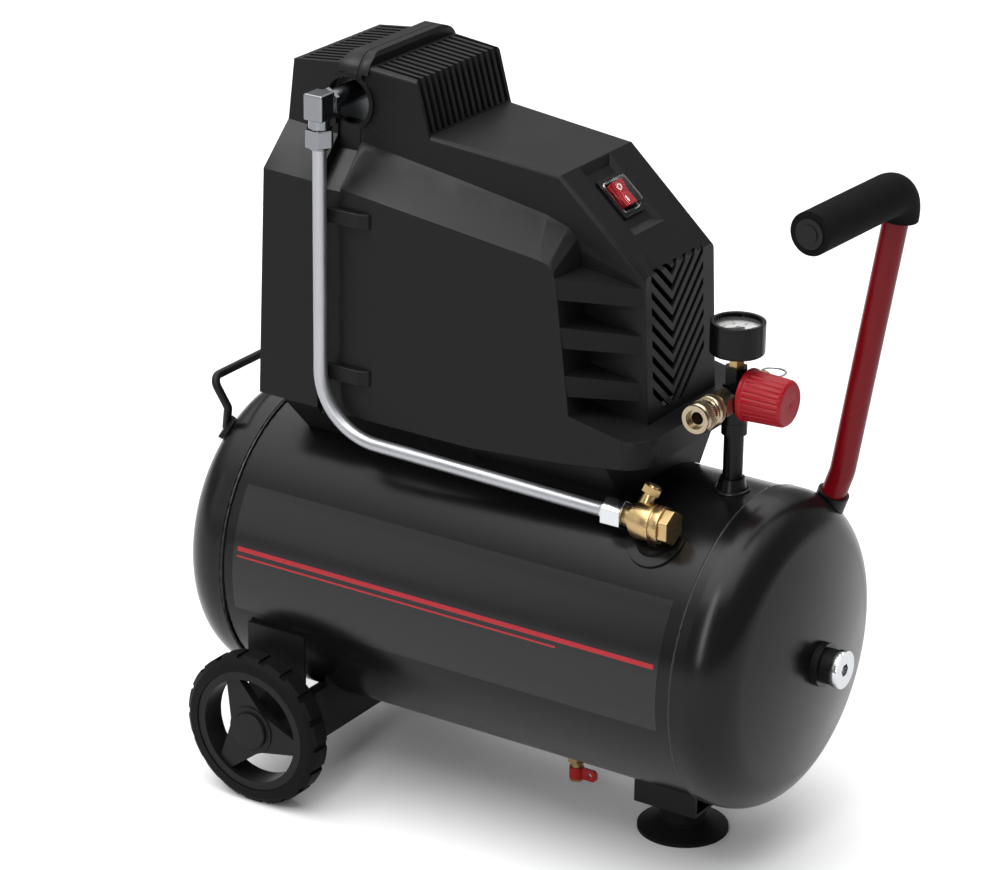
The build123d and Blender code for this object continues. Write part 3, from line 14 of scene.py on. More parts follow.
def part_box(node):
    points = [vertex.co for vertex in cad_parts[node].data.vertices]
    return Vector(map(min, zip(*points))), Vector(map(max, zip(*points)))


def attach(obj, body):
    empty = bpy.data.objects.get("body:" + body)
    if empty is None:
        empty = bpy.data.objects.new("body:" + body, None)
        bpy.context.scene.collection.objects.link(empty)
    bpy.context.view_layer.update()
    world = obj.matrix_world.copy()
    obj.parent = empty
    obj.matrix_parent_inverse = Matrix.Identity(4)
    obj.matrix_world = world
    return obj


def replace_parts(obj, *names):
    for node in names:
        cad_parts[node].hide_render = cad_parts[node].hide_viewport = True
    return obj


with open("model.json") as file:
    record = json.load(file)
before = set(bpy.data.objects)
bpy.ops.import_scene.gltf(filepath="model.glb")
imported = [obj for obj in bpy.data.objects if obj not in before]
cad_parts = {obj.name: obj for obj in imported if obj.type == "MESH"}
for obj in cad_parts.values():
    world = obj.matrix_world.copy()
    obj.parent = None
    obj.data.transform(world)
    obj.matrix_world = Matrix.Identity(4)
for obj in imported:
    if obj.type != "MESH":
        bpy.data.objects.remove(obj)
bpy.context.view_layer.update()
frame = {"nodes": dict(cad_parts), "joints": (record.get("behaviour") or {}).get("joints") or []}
nodes = frame["nodes"]

MM = 0.001
TURN = 2 * math.pi

# ------------------------------------------------------------------ finishes
PATCHES = 22.0              # scale of the broad noise: soft patches of some 45 mm
LUMPS = 2.5                 # how many lumps a noise of scale 1 has in a metre
MIX_FACTOR, MIX_A, MIX_B, MIX_RESULT = 0, 6, 7, 2       # the colour sockets of a mix node


def linear(code):
    """An sRGB hex colour as linear RGBA."""
    values = [int(code[i:i + 2], 16) / 255 for i in (1, 3, 5)]
    return [v / 12.92 if v <= 0.04045 else ((v + 0.055) / 1.055) ** 2.4 for v in values] + [1.0]


def node(tree, kind, settings=None, inputs=None):
    """Adds a shader node, sets its settings and its input values or links."""
    made = tree.nodes.new(kind)
    for key, value in (settings or {}).items():
        setattr(made, key, value)
    for key, value in (inputs or {}).items():
        if isinstance(value, bpy.types.NodeSocket):
            tree.links.new(value, made.inputs[key])
        else:
            made.inputs[key].default_value = value
    return made


def material(name, colour, rough, metal=0.0, grain_mm=0.0, relief_mm=0.0, wear=0.0, fleck=0.06, **more):
    """A procedural surface. grain_mm is the size of its fine grain and relief_mm the grain's height,
    wear varies the roughness over some centimetres, and fleck the colour. What is in more goes to the
    shader's other inputs, with _ for a space."""
    made = bpy.data.materials.new(name)
    made.use_nodes = True
    tree = made.node_tree
    tree.nodes.clear()
    where = node(tree, "ShaderNodeTexCoord").outputs["Object"]
    patches = node(tree, "ShaderNodeTexNoise", inputs={
        "Vector": where, "Scale": PATCHES, "Detail": 4.0}).outputs["Fac"]
    base = linear(colour)[:3]
    tint = node(tree, "ShaderNodeMix", {"data_type": "RGBA"}, {
        MIX_FACTOR: patches, MIX_A: [c * (1 - fleck) for c in base] + [1.0],
        MIX_B: [min(1.0, c * (1 + fleck)) for c in base] + [1.0]})
    sheen = node(tree, "ShaderNodeMapRange", inputs={
        "Value": patches, "From Min": 0.3, "From Max": 0.7,
        "To Min": max(0.02, rough - wear), "To Max": min(1.0, rough + wear)})
    shader = node(tree, "ShaderNodeBsdfPrincipled", inputs={
        "Base Color": tint.outputs[MIX_RESULT], "Roughness": sheen.outputs["Result"], "Metallic": metal,
        **{key.replace("_", " "): value for key, value in more.items()}})
    if relief_mm:
        fine = node(tree, "ShaderNodeTexNoise", inputs={
            "Vector": where, "Scale": 1000.0 / grain_mm / LUMPS, "Detail": 3.0, "Roughness": 0.6})
        bump = node(tree, "ShaderNodeBump", inputs={
            "Height": fine.outputs["Fac"], "Strength": 0.35, "Distance": relief_mm * MM})
        tree.links.new(bump.outputs["Normal"], shader.inputs["Normal"])
    node(tree, "ShaderNodeOutputMaterial", inputs={"Surface": shader.outputs["BSDF"]})
    return made


# The real grain of mouldings and of machined metal is too fine to show on the whole compressor, so it is
# drawn at 0.4 to 1 mm, as coarse as it needs to be to break up the light a little.

# powder coat baked on the welded vessel: satin black, with a little orange peel in its broad reflections
tank_paint = material("tank_black_powder_coat", "#0a0a0b", 0.24, grain_mm=1.6, relief_mm=0.05, wear=0.03,
                      Specular_IOR_Level=0.17)
# the same coat on folded sheet, a little flatter
bracket_paint = material("bracket_black_powder_coat", "#0b0b0c", 0.42, grain_mm=1.2, relief_mm=0.08,
                         wear=0.06, Specular_IOR_Level=0.16)
# and over the weld beads, where it is lumpy and catches small glints
weld_paint = material("weld_black_powder_coat", "#0a0a0b", 0.36, grain_mm=1.4, relief_mm=0.25, wear=0.06,
                      Specular_IOR_Level=0.3)
# ABS moulded in a spark-eroded tool: a matt black with fine grain and no gloss
cover_plastic = material("cover_moulded_grained_abs", "#0d0d0e", 0.42, grain_mm=0.7, relief_mm=0.10,
                         wear=0.04, Specular_IOR_Level=0.1)
# nylon from a smoother tool round the switch: black with a soft shine
switch_plastic = material("switch_moulded_nylon", "#0b0b0c", 0.32, grain_mm=0.5, relief_mm=0.03, wear=0.04,
                          Specular_IOR_Level=0.2)
# moulded polypropylene of the wheels: waxy black, slightly polished by handling
rim_plastic = material("rim_moulded_polypropylene", "#101011", 0.44, grain_mm=0.8, relief_mm=0.08, wear=0.07,
                       Specular_IOR_Level=0.13)
# solid moulded rubber of the treads: dead matt and faintly dusty
tyre_rubber = material("tyre_moulded_rubber", "#080809", 0.62, grain_mm=0.9, relief_mm=0.14, wear=0.06,
                       fleck=0.16, Specular_IOR_Level=0.08)
# softer rubber of the foot and the pump's mounts: a cleaner matt black
foot_rubber = material("foot_moulded_rubber", "#0c0c0d", 0.6, grain_mm=1.0, relief_mm=0.08, wear=0.06,
                       fleck=0.1, Specular_IOR_Level=0.1)
# closed-cell foam sleeve, foamed and cut: soft, very matt, with small cells
grip_foam = material("grip_closed_cell_foam", "#070708", 0.85, grain_mm=0.55, relief_mm=0.35, wear=0.04,
                     fleck=0.14, Specular_IOR_Level=0.08)
# powder coat on the bent tube of the pull handle: a deep gloss red
handle_paint = material("handle_deep_red_powder_coat", "#5e050c", 0.3, grain_mm=1.8, relief_mm=0.05,
                        wear=0.05, Specular_IOR_Level=0.14)
# ABS moulded in red for the knob: strong red with a satin shine on the flutes
knob_plastic = material("knob_moulded_red_abs", "#7f0c17", 0.36, grain_mm=0.8, relief_mm=0.05, wear=0.05,
                        Specular_IOR_Level=0.18)
# polycarbonate moulded in a polished tool for the rocker: smooth glossy red
rocker_plastic = material("rocker_moulded_red_polycarbonate", "#8e0818", 0.22, Specular_IOR_Level=0.4)
# the drain tap's wing, cast zinc with red lacquer
drain_paint = material("drain_red_lacquer", "#9a1414", 0.4, grain_mm=0.8, relief_mm=0.05, wear=0.05,
                       Specular_IOR_Level=0.3)
# chrome plate on turned steel: bright, almost mirror smooth
chrome = material("fitting_chrome_plate", "#b9bbbd", 0.14, metal=1.0, wear=0.05, fleck=0.03)
# the same plate on the outlet elbow, its colour darkened as a painted reflection of the black cover it
# mirrors
chrome_painted_dark_reflection = material("elbow_chrome_plate_painted_dark_reflection", "#77797c", 0.16, metal=1.0, wear=0.04, fleck=0.03)
# zinc-plated steel of the screws and shafts: a dull silver
zinc = material("screw_zinc_plated_steel", "#a9abae", 0.34, metal=1.0, grain_mm=0.5, relief_mm=0.02, wear=0.1)
# drawn aluminium of the delivery pipe: pale and silky
pipe_metal = material("pipe_drawn_aluminium", "#98999c", 0.36, metal=0.9, grain_mm=0.9, relief_mm=0.02,
                      wear=0.07)
# turned brass of the valves: warm yellow, slightly dulled
brass = material("valve_turned_brass", "#a58d64", 0.3, metal=1.0, grain_mm=0.5, relief_mm=0.02, wear=0.09,
                 fleck=0.1)
# nickel plate over the coupler's turned brass: its own warm grey, darkened further as a painted reflection of
# the dark things round it
nickel_painted_dark_reflection = material("coupler_nickel_plate_painted_dark_reflection", "#958974", 0.22, metal=1.0, grain_mm=0.4, relief_mm=0.02,
                  wear=0.08)
# enamel on the die-cast regulator and the gauge's case: deep black with clear highlights
black_metal = material("regulator_black_enamel", "#060607", 0.26, grain_mm=0.9, relief_mm=0.05, wear=0.06,
                       Specular_IOR_Level=0.14)
# enamel on the gauge's pressed dial: an even, matt white
dial_paint = material("dial_white_enamel", "#b4b5b3", 0.55, fleck=0.02)
# printed inks, flat and even: the scale and needle, the scale's red zone, and the rocker's marks
ink_black = material("dial_printed_black_ink", "#0e0e0e", 0.6, fleck=0.02)
ink_red = material("dial_printed_red_ink", "#b01a20", 0.6, fleck=0.02)
white_ink = material("switch_printed_white_ink", "#dcdcdc", 0.5, fleck=0.02)
# die-cast aluminium of the pump: grey and faintly mottled
cast_metal = material("pump_die_cast_aluminium", "#8f9294", 0.5, metal=0.9, grain_mm=1.4, relief_mm=0.2,
                      wear=0.1, fleck=0.1)
# stacked sheet steel of the motor's core: dark and dull
core_steel = material("motor_stacked_sheet_steel", "#5b5d60", 0.5, metal=0.9, grain_mm=0.8, relief_mm=0.06,
                      wear=0.1)
# wound copper wire with enamel on it: a reddish brown metal
winding_copper = material("motor_enamelled_copper_wire", "#a4502a", 0.35, metal=0.9, grain_mm=0.8,
                          relief_mm=0.1, wear=0.08)
# vinyl film laid on the tank: smoother and glossier than the paint round it, black with red stripes
film_black = material("panel_black_vinyl_film", "#070708", 0.24, fleck=0.03, Specular_IOR_Level=0.33)
stripe_film = material("stripe_red_vinyl_film", "#820b16", 0.34, Specular_IOR_Level=0.35)
# acrylic lens and silicone cap, both thin and clear: the low IOR bends what is behind as little as they do
lens_acrylic = material("gauge_moulded_acrylic", "#fbfcfc", 0.03, Transmission_Weight=1.0, IOR=1.2)
cap_silicone = material("switch_moulded_clear_silicone", "#f4f4f2", 0.06, Transmission_Weight=1.0, IOR=1.2)

finishes = {
    tank_paint: ("tank_barrel", "tank_head_front", "tank_head_rear", "tank_bosses"),
    bracket_paint: ("axle_bracket", "foot_bracket", "handle_socket", "lifting_handle"),
    cover_plastic: ("cover_rear", "cover_front", "cover_clips"),
    switch_plastic: ("switch_bezel", "switch_body", "cable_gland"),
    rim_plastic: ("rim_left", "rim_right", "hub_cap_left", "hub_cap_right", "handle_end_cap", "motor_fan"),
    tyre_rubber: ("tyre_left", "tyre_right"),
    foot_rubber: ("rubber_foot", "rubber_mounts"),
    grip_foam: ("handle_grip",),
    handle_paint: ("handle_tube",),
    knob_plastic: ("regulator_knob",),
    rocker_plastic: ("switch_rocker",),
    drain_paint: ("drain_wing",),
    chrome: ("end_plug", "valve_nut"),
    chrome_painted_dark_reflection: ("outlet_elbow", "outlet_nut"),
    zinc: ("stub_axles", "axle_nuts", "foot_bolt", "safety_pin", "pump_base", "motor_rotor"),
    pipe_metal: ("delivery_pipe",),
    brass: ("drain_body", "check_valve", "valve_cap", "unloader_plug", "gauge_stem", "safety_valve"),
    nickel_painted_dark_reflection: ("coupler_body", "coupler_sleeve"),
    black_metal: ("riser_tube", "regulator_body", "regulator_top", "gauge_case", "gauge_bezel"),
    dial_paint: ("gauge_dial",),
    ink_black: ("gauge_needle",),
    lens_acrylic: ("gauge_lens",),
    cast_metal: ("pump_body", "cylinder_head", "piston_rod"),
    core_steel: ("motor_stator",),
}
for finish, names in finishes.items():
    for name in names:
        nodes[name].data.materials.clear()
        nodes[name].data.materials.append(finish)

# moulded and machined edges are slightly rounded, by these widths in mm, so that they catch the light
soft_edges = {
    1.4: ("cover_rear", "cover_front"),
    1.0: ("cover_clips",),
    0.7: ("switch_bezel", "outlet_nut", "valve_nut", "check_valve", "valve_cap", "unloader_plug", "end_plug"),
}
for width_mm, names in soft_edges.items():
    for name in names:
        weld = nodes[name].modifiers.new("weld", "WELD")
        weld.merge_threshold = 0.02 * MM
        bevel = nodes[name].modifiers.new("bevel", "BEVEL")
        bevel.width = width_mm * MM
        bevel.segments = 2
        bevel.limit_method = "ANGLE"
        bevel.angle_limit = math.radians(28)
        bevel.use_clamp_overlap = True
        bevel.harden_normals = True


# ------------------------------------------------------------------ helpers for new pieces
def piece(name, bm, finish, body, smooth=True):
    """A new object from a bmesh, with its finish, body and material slot."""
    mesh = bpy.data.meshes.new(name)
    bmesh.ops.recalc_face_normals(bm, faces=bm.faces)
    bm.to_mesh(mesh)
    bm.free()
    mesh.materials.append(finish)
    for face in mesh.polygons:
        face.use_smooth = smooth
    if smooth:
        mesh.set_sharp_from_angle(angle=math.radians(35))
    made = bpy.data.objects.new(name, mesh)
    bpy.context.scene.collection.objects.link(made)
    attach(made, body)
    return made


def middle(name):
    """The middle of a node's box, and its lowest and highest corners."""
    low, high = (Vector(v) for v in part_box(name))
    return (low + high) / 2, low, high


def around(count):
    """Evenly spaced angles round a full turn."""
    return [TURN * i / count for i in range(count)]


def walls(bm, rings, closed=False):
    """Faces between each ring of corners and the next, where a ring may be a single point; closed
    joins the last ring to the first."""
    for one, two in list(zip(rings, rings[1:])) + ([(rings[-1], rings[0])] if closed else []):
        count = max(len(one), len(two))
        for k in range(count):
            j = (k + 1) % count
            corners = [one[k % len(one)], one[j % len(one)], two[j % len(two)], two[k % len(two)]]
            bm.faces.new(list(dict.fromkeys(corners)))


def bent_rod(bm, points, radii, closed=True):
    """A round rod through points, with a radius at each."""
    rings = []
    for i, (here, radius) in enumerate(zip(points, radii)):
        back = points[i - 1] if closed or i else points[0]
        ahead = points[(i + 1) % len(points)] if closed or i < len(points) - 1 else points[-1]
        forward = (ahead - back).normalized()
        up = Vector((0, 0, 1)) if abs(forward.z) < 0.9 else Vector((1, 0, 0))
        side = forward.cross(up).normalized()
        up = side.cross(forward)
        rings.append([bm.verts.new(here + (side * math.cos(a) + up * math.sin(a)) * radius)
                      for a in around(8)])
    walls(bm, rings, closed)
    if not closed:
        bm.faces.new(rings[0])
        bm.faces.new(rings[-1])


def plate(bm, outline, low, high, place):
    """A flat plate: an outline in its own plane between two heights, put in place by a matrix."""
    below, above = ([bm.verts.new(place @ Vector((x, y, z))) for x, y in outline] for z in (low, high))
    bm.faces.new(below)
    bm.faces.new(above)
    walls(bm, [below, above])


def flat_ring(bm, inner, outer, low, high, place, start=0.0, sweep=TURN, steps=48):
    """A flat ring, or the part of it from start over sweep."""
    full = sweep == TURN
    rings = []
    for i in range(steps if full else steps + 1):
        a = start + sweep * i / steps
        rings.append([bm.verts.new(place @ Vector((math.cos(a) * r, math.sin(a) * r, z)))
                      for r, z in ((inner, low), (outer, low), (outer, high), (inner, high))])
    walls(bm, rings, closed=full)
    if not full:
        bm.faces.new(rings[0])
        bm.faces.new(rings[-1])


# ------------------------------------------------------------------ fluted knob and knurled sleeve
def fluted_piece(name, replaced, axis, start, profile, flutes, steps, finish, body, closed=False):
    """A turned piece with flutes in place of a plainer solid. Each row of its profile has, in mm, the
    way along the axis, the radius (0 for a point on the axis) and the depth of the flutes there."""
    bm = bmesh.new()
    place = Matrix.Translation(start) @ Vector(axis).to_track_quat("Z", "Y").to_matrix().to_4x4()
    rings = []
    for along, radius, depth in profile:
        ring = []
        for a in around(steps if radius else 1):
            r = (radius - depth * max(0.0, math.cos(flutes * a)) ** 1.5) * MM
            ring.append(bm.verts.new(place @ Vector((r * math.cos(a), r * math.sin(a), along * MM))))
        rings.append(ring)
    walls(bm, rings, closed)
    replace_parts(piece(name, bm, finish, body), replaced)


# from the dimple in the middle of its face over the fluted side and the plain collar to the hollow back
knob_mid, knob_low, _ = middle("regulator_knob")
fluted_piece("knob_fluted", "regulator_knob", (1, 0, 0), (knob_low.x, knob_mid.y, knob_mid.z), [
    (36.0, 0, 0), (36.0, 1.2, 0), (36.5, 2.0, 0), (36.5, 15.0, 0), (36.1, 16.3, 0), (35.0, 17.4, 0.3),
    (33.4, 18.4, 1.1), (5.6, 19.7, 1.1), (4.4, 19.6, 0), (3.3, 19.9, 0), (2.6, 20.7, 0), (1.8, 20.8, 0),
    (0.5, 20.8, 0), (0.0, 20.4, 0), (0.0, 14.5, 0), (19.5, 14.5, 0), (19.5, 0, 0)],
    26, 208, knob_plastic, "pressure_knob")

# from the inner end, with a knurled band, a groove, a waist and a second band, and back down the bore
sleeve_mid, _, sleeve_high = middle("coupler_sleeve")
fluted_piece("sleeve_knurled", "coupler_sleeve", (0, -1, 0), (sleeve_mid.x, sleeve_high.y, sleeve_mid.z), [
    (0.0, 11.6, 0), (0.6, 12.2, 0), (1.2, 12.2, 0.5), (4.8, 12.2, 0.5), (5.4, 12.2, 0), (6.0, 11.7, 0),
    (6.4, 10.8, 0), (8.2, 10.8, 0), (8.6, 11.5, 0), (9.6, 11.6, 0), (10.0, 11.0, 0), (12.4, 10.9, 0),
    (12.8, 11.5, 0), (14.6, 11.5, 0), (15.2, 12.2, 0), (15.8, 12.2, 0.5), (21.6, 12.2, 0.5), (22.2, 12.2, 0),
    (23.0, 12.0, 0), (24.0, 11.2, 0), (24.0, 9.45, 0), (0.0, 9.45, 0)],
    44, 264, nickel_painted_dark_reflection, "sleeve", closed=True)

# ------------------------------------------------------------------ gauge scale
full_bar, red_bar = 12, 8                   # where the scale ends and where its red zone starts
zero_degrees, sweep_degrees = 225, 270      # where the scale starts and how far it goes round
ticks_per_bar = 5
dial_mid, dial_low, dial_high = middle("gauge_dial")
dial_place = Matrix.Translation((dial_mid.x, dial_mid.y, dial_high.z))
dial_edge = (dial_high.x - dial_low.x) / 2
print_low, print_high = 0.02 * MM, 0.10 * MM        # the black print over the dial's face
red_low, red_high = 0.01 * MM, 0.06 * MM            # the red print, a little lower
number_size, number_reach = 5.0 * MM, 0.62 * dial_edge


def dial_angle(bar):
    """Where a pressure is on the scale."""
    return math.radians(zero_degrees - sweep_degrees * bar / full_bar)


ticks = bmesh.new()
for step in range(full_bar * ticks_per_bar + 1):
    numbered = step % (2 * ticks_per_bar) == 0
    inner = dial_edge * (0.80 if numbered else 0.87 if step % ticks_per_bar == 0 else 0.90)
    outer = dial_edge * 0.95
    half = (0.32 if numbered else 0.16) * MM
    plate(ticks, [(inner, -half), (outer, -half), (outer, half), (inner, half)], print_low, print_high,
          dial_place @ Matrix.Rotation(dial_angle(step / ticks_per_bar), 4, "Z"))
flat_ring(ticks, dial_edge * 0.945, dial_edge * 0.96, print_low, print_high, dial_place,
          dial_angle(full_bar), math.radians(sweep_degrees))
piece("dial_ticks", ticks, ink_black, "compressor", smooth=False)

red_arc = bmesh.new()
flat_ring(red_arc, dial_edge * 0.84, dial_edge * 0.93, red_low, red_high, dial_place,
          dial_angle(full_bar), math.radians(sweep_degrees * (full_bar - red_bar) / full_bar), 20)
piece("dial_red_zone", red_arc, ink_red, "compressor", smooth=False)

numbers = bmesh.new()
for bar in range(0, full_bar + 1, 2):
    text = bpy.data.curves.new("number", "FONT")
    text.body = str(bar)
    text.size = number_size
    text.extrude = (print_high - print_low) / 2
    text.resolution_u = 3
    text.align_x = "CENTER"
    text.align_y = "CENTER"
    carrier = bpy.data.objects.new("number", text)
    bpy.context.scene.collection.objects.link(carrier)
    bpy.context.view_layer.update()
    flat = bpy.data.meshes.new_from_object(carrier)
    at = dial_angle(bar)
    spot = Vector((math.cos(at), math.sin(at), 0)) * number_reach
    flat.transform(dial_place @ Matrix.Translation(spot + Vector((0, 0, (print_low + print_high) / 2))))
    numbers.from_mesh(flat)
    bpy.data.objects.remove(carrier)
    bpy.data.curves.remove(text)
    bpy.data.meshes.remove(flat)
piece("dial_numbers", numbers, ink_black, "compressor", smooth=False)

# ------------------------------------------------------------------ switch: clear cap and marks
# the switch's own place is on the cover's slope, which falls 66 mm over 75.5 mm, and 3 mm over the pivot
slope = math.atan2(66.0, 75.5)
slope_x = Vector((math.cos(slope), 0, -math.sin(slope)))
slope_z = Vector((math.sin(slope), 0, math.cos(slope)))
pivot = Vector(next(joint["pos_m"] for joint in frame["joints"] if joint["name"] == "rocker_tilt"))
switch_place = Matrix.Translation(pivot + slope_z * 3 * MM) @ Matrix((
    (slope_x.x, 0, slope_z.x, 0), (0, 1, 0, 0), (slope_x.z, 0, slope_z.z, 0), (0, 0, 0, 1)))


def rounded(half_x, half_y, corner, steps=6):
    """A rectangle with rounded corners, as a list of points."""
    points = []
    for cx, cy, start in ((1, 1, 0), (-1, 1, 90), (-1, -1, 180), (1, -1, 270)):
        for i in range(steps + 1):
            a = math.radians(start + 90 * i / steps)
            points.append(((half_x - corner) * cx + corner * math.cos(a),
                           (half_y - corner) * cy + corner * math.sin(a)))
    return points


def dome(bm, half_x, half_y, height, levels=7):
    """A soft rounded cap in the switch's own place, which leans in all the way up and rounds over from
    a little above its middle; gives back the corners of its foot."""
    foot = 2.45 * MM
    rings = []
    for i in range(levels):
        t = i / (levels - 1)
        shrink = 1 - 0.16 * t - 0.24 * max(0.0, t - 0.55) ** 2 / 0.2
        z = foot + height * math.sin(t * math.pi / 2)
        rings.append([bm.verts.new(switch_place @ Vector((x * shrink, y * shrink, z)))
                      for x, y in rounded(half_x, half_y, 3.0 * MM)])
    walls(bm, rings)
    bm.faces.new(rings[-1])
    return rings[0]


cap = bmesh.new()
walls(cap, [dome(cap, 14.4 * MM, 10.4 * MM, 9.6 * MM), dome(cap, 13.7 * MM, 9.7 * MM, 9.0 * MM)])
piece("switch_cap", cap, cap_silicone, "compressor")


def rocker_face(along_mm, up_mm, rise_mm, run_mm=10.6):
    """The place of a mark on one of the rocker's two faces, which rises over its run."""
    return switch_place @ (Matrix.Translation((along_mm * MM, 0, up_mm * MM))
                           @ Matrix.Rotation(math.atan2(rise_mm, run_mm), 4, "Y"))


marks = bmesh.new()
bar_x, bar_y = 2.6 * MM, 0.6 * MM
mark_low, mark_high = -0.1 * MM, 0.15 * MM
plate(marks, [(-bar_x, -bar_y), (bar_x, -bar_y), (bar_x, bar_y), (-bar_x, bar_y)], mark_low, mark_high,
      rocker_face(5.4, 5.32, -0.6))
flat_ring(marks, 1.7 * MM, 2.7 * MM, mark_low, mark_high, rocker_face(-5.4, 6.32, 2.6))
piece("switch_marks", marks, white_ink, "rocker", smooth=False)

# ------------------------------------------------------------------ film and stripes on the tank
barrel_mid, barrel_low, barrel_high = middle("tank_barrel")
barrel_r = (barrel_high.z - barrel_low.z) / 2


def on_barrel(name, x0, x1, z0, z1, lift, finish):
    """A thin film on the front of the barrel between two heights above its axis, in steps round the
    barrel that are fine enough not to dip into it."""
    bm = bmesh.new()
    a0, a1 = math.asin(z0 / barrel_r), math.asin(z1 / barrel_r)
    rows = 14
    across = max(6, round(math.degrees(a1 - a0) / 1.2))
    faces = []
    for radius in (barrel_r + 0.02 * MM, barrel_r + lift):
        face = []
        for i in range(across + 1):
            a = a0 + (a1 - a0) * i / across
            y, z = barrel_mid.y - radius * math.cos(a), barrel_mid.z + radius * math.sin(a)
            face.append([bm.verts.new((x0 + (x1 - x0) * k / rows, y, z)) for k in range(rows + 1)])
        faces.append(face)
    for face in faces:
        for i in range(across):
            for k in range(rows):
                bm.faces.new((face[i][k], face[i][k + 1], face[i + 1][k + 1], face[i + 1][k]))
    edge = [(0, k) for k in range(rows)] + [(i, rows) for i in range(across)]
    edge += [(across, k) for k in range(rows, 0, -1)] + [(i, 0) for i in range(across, 0, -1)]
    under, over = faces
    for (i, k), (j, m) in zip(edge, edge[1:] + edge[:1]):
        bm.faces.new((under[i][k], under[j][m], over[j][m], over[i][k]))
    piece(name, bm, finish, "compressor")


# the film goes from under the barrel's middle to well over it, with a wide stripe and a thin one under it
panel_x0, panel_x1 = barrel_mid.x - 0.198, barrel_mid.x + 0.196
stripe_x0 = panel_x0 + 0.004
film_lift, stripe_lift = 0.12 * MM, 0.24 * MM
on_barrel("tank_panel", panel_x0, panel_x1, -0.028, 0.072, film_lift, film_black)
on_barrel("tank_stripe", stripe_x0, panel_x1 - 0.004, 0.0225, 0.0262, stripe_lift, stripe_film)
on_barrel("tank_stripe_thin", stripe_x0, panel_x1 - 0.09, 0.0175, 0.0190, stripe_lift, stripe_film)

# ------------------------------------------------------------------ weld beads
chance = Random(7)


def bead(name, points, radius, closed=True):
    """A weld bead: a lumpy rod along points, with the ripples of its passes."""
    bm = bmesh.new()
    radii = [radius * (1 + 0.16 * math.sin(i * 1.9) + chance.uniform(-0.12, 0.12))
             for i in range(len(points))]
    bent_rod(bm, points, radii, closed)
    piece(name, bm, weld_paint, "compressor")


# round the riser's boss, where it stands on the barrel
boss_bead, boss_r, boss_lift = 0.0014, 0.0129, 0.0004
boss_x = middle("riser_tube")[0].x
bead("weld_riser_boss", [
    Vector((boss_x + boss_r * math.cos(a), boss_r * math.sin(a),
            barrel_mid.z + math.sqrt(barrel_r ** 2 - (boss_r * math.sin(a)) ** 2) + boss_lift))
    for a in around(44)], boss_bead)

# along both sides of the foot's bracket, a little short of its ends
foot_bead, foot_off, foot_short = 0.0013, 0.0006, 0.002
_, foot_low, foot_high = middle("foot_bracket")
foot_run = foot_high.x - foot_low.x - 2 * foot_short
for label, side in (("near", -1), ("rear", 1)):
    y = side * (foot_high.y + foot_off)
    z = barrel_mid.z - math.sqrt(barrel_r ** 2 - y ** 2) - foot_off
    bead(f"weld_foot_{label}", [Vector((foot_low.x + foot_short + foot_run * i / 40, y, z))
                                for i in range(41)], foot_bead, closed=False)

# round the tank where its two heads meet the barrel
seam_bead, seam_off, seam_reach = 0.0012, 0.0011, barrel_r + 0.0008
front_seam_x, rear_seam_x = middle("tank_head_front")[1].x, middle("tank_head_rear")[2].x
for label, seam_x, outwards in (("front", front_seam_x, -1), ("rear", rear_seam_x, 1)):
    bead(f"weld_seam_{label}", [
        Vector((seam_x + outwards * seam_off, barrel_mid.y + seam_reach * math.cos(a),
                barrel_mid.z + seam_reach * math.sin(a)))
        for a in around(260)], seam_bead)

# ------------------------------------------------------------------ motor windings inside the cover
# three rings of bundled wire at each end of the core, waved as they pass its twelve slots
winding_r, winding_off, first_ring, ring_step = 0.0038, 0.0052, 0.038, 0.005
wave, waves, winding_steps = 0.0012, 12, 96
stator_mid, stator_low, stator_high = middle("motor_stator")
windings = bmesh.new()
for end, outwards in ((stator_low.x, -1), (stator_high.x, 1)):
    for ring in range(3):
        reach = first_ring + ring_step * ring
        bent_rod(windings, [
            Vector((end + outwards * (winding_off + wave * math.cos(waves * a + ring)),
                    reach * math.cos(a), stator_mid.z + reach * math.sin(a)))
            for a in around(winding_steps)], [winding_r] * winding_steps)
piece("motor_windings", windings, winding_copper, "compressor")


# ------------------------------------------------------------------ camera, floor and light
def aim(obj, target):
    """Turns an object's -Z axis to a point."""
    obj.rotation_euler = (Vector(target) - obj.location).to_track_quat("-Z", "Y").to_euler()


# a long lens about 3 m away, off the pull handle's end on the pipe's side; the angles are in degrees
camera_place, to_the_left, looking_down, rolled = (1.4776, -2.3532, 1.4356), 32.827, 22.164, 0.774
camera_data = bpy.data.cameras.new("camera")
camera_data.lens = 137.76
camera_data.sensor_width = 36.0
camera = bpy.data.objects.new("camera", camera_data)
bpy.context.scene.collection.objects.link(camera)
turn = Matrix.Rotation(math.radians(to_the_left), 4, "Z")
tilt = Matrix.Rotation(math.radians(90 - looking_down), 4, "X")
roll = Matrix.Rotation(math.radians(rolled), 4, "Z")
camera.matrix_world = Matrix.Translation(camera_place) @ turn @ tilt @ roll
bpy.context.scene.camera = camera

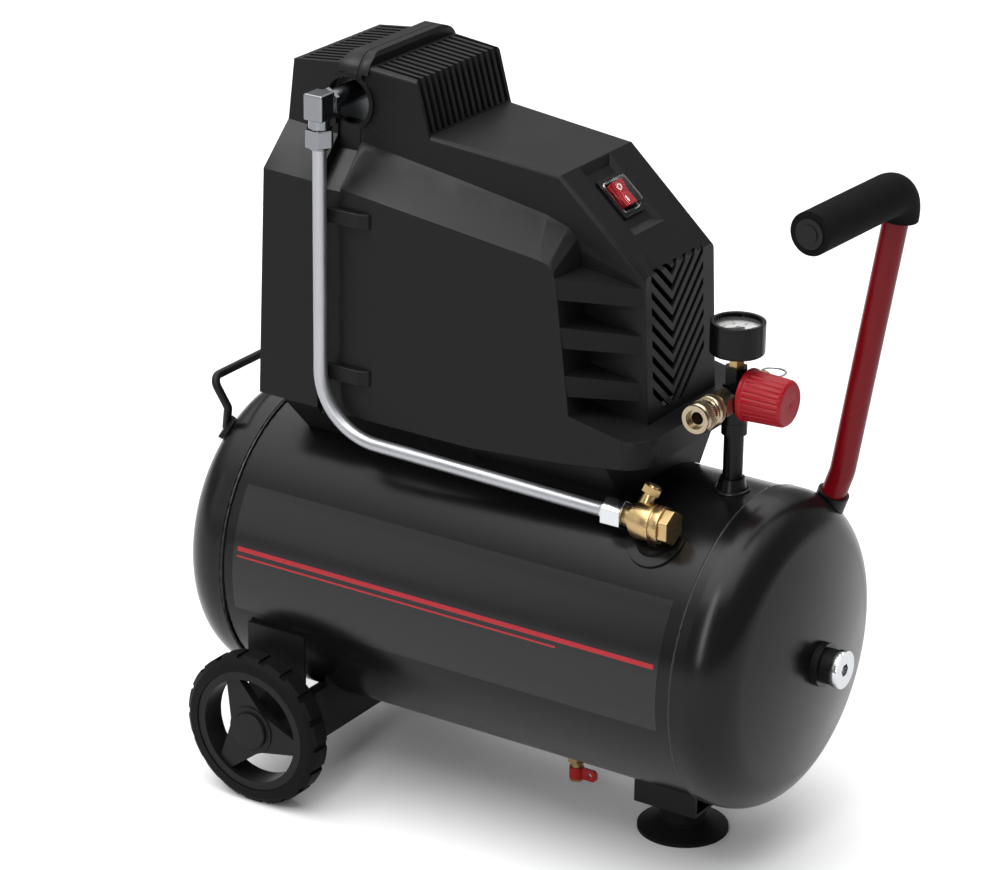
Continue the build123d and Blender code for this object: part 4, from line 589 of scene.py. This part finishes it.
# a pale painted floor, almost white and dead matt, so that only the soft shadows show on it
floor_mesh = bpy.data.meshes.new("floor")
grid = bmesh.new()
bmesh.ops.create_grid(grid, x_segments=1, y_segments=1, size=12.0)
grid.to_mesh(floor_mesh)
grid.free()
floor = bpy.data.objects.new("floor", floor_mesh)
bpy.context.scene.collection.objects.link(floor)
floor_mesh.materials.append(material("floor_pale_matt_paint", "#d2d2d3", 0.8, fleck=0.01))

# a white studio: bright overhead and to the left, darker towards the right and the horizon; dim_from is
# the cosine of the angle from the brightest direction at which it is down to dim
brightest, dim_from, dim, bright = (-0.25, 0.08, 0.965), 0.45, 0.3, 3.6
world = bpy.data.worlds.new("studio")
world.use_nodes = True
sky = world.node_tree
looking = node(sky, "ShaderNodeTexCoord").outputs["Generated"]
towards = node(sky, "ShaderNodeVectorMath", {"operation": "DOT_PRODUCT"}, {0: looking, 1: brightest})
level = node(sky, "ShaderNodeMapRange", {"interpolation_type": "SMOOTHSTEP"}, {
    "Value": towards.outputs["Value"], "From Min": dim_from, "From Max": 1.0,
    "To Min": dim, "To Max": bright})
sky.nodes["Background"].inputs["Color"].default_value = (1.0, 1.0, 1.0, 1.0)
sky.links.new(level.outputs["Result"], sky.nodes["Background"].inputs["Strength"])
bpy.context.scene.world = world
# plain display of the colours, so that the pale floor stays white
bpy.context.scene.view_settings.view_transform = "Standard"


def soft_box(name, place, target, watts, wide, high):
    """A rectangular studio light at a place, turned to a target."""
    data = bpy.data.lights.new(name, "AREA")
    data.shape = "RECTANGLE"
    data.size = wide
    data.size_y = high
    data.energy = watts
    lamp = bpy.data.objects.new(name, data)
    lamp.location = place
    aim(lamp, target)
    bpy.context.scene.collection.objects.link(lamp)
    return lamp


soft_box("left", (-2.6, -2.8, 1.4), (0, 0, 0.3), 17, 2.4, 1.8)
soft_box("front_strip", (0.55, -2.5, 1.7), (0.2, 0, 0.2), 40, 0.4, 2.6)
soft_box("top", (0.3, -0.9, 2.9), (0.1, -0.2, 0), 60, 3.2, 2.4)

# a lamp for the matt cover alone, which the glossy tank would mirror as a spot
cover_only = bpy.data.collections.new("cover_only")
for name in finishes[cover_plastic]:
    cover_only.objects.link(nodes[name])
ledge_lamp = soft_box("ledge", (-1.55, -1.37, 2.6), (-0.1, 0, 0.5), 95, 1.3, 1.0)
ledge_lamp.light_linking.receiver_collection = cover_only
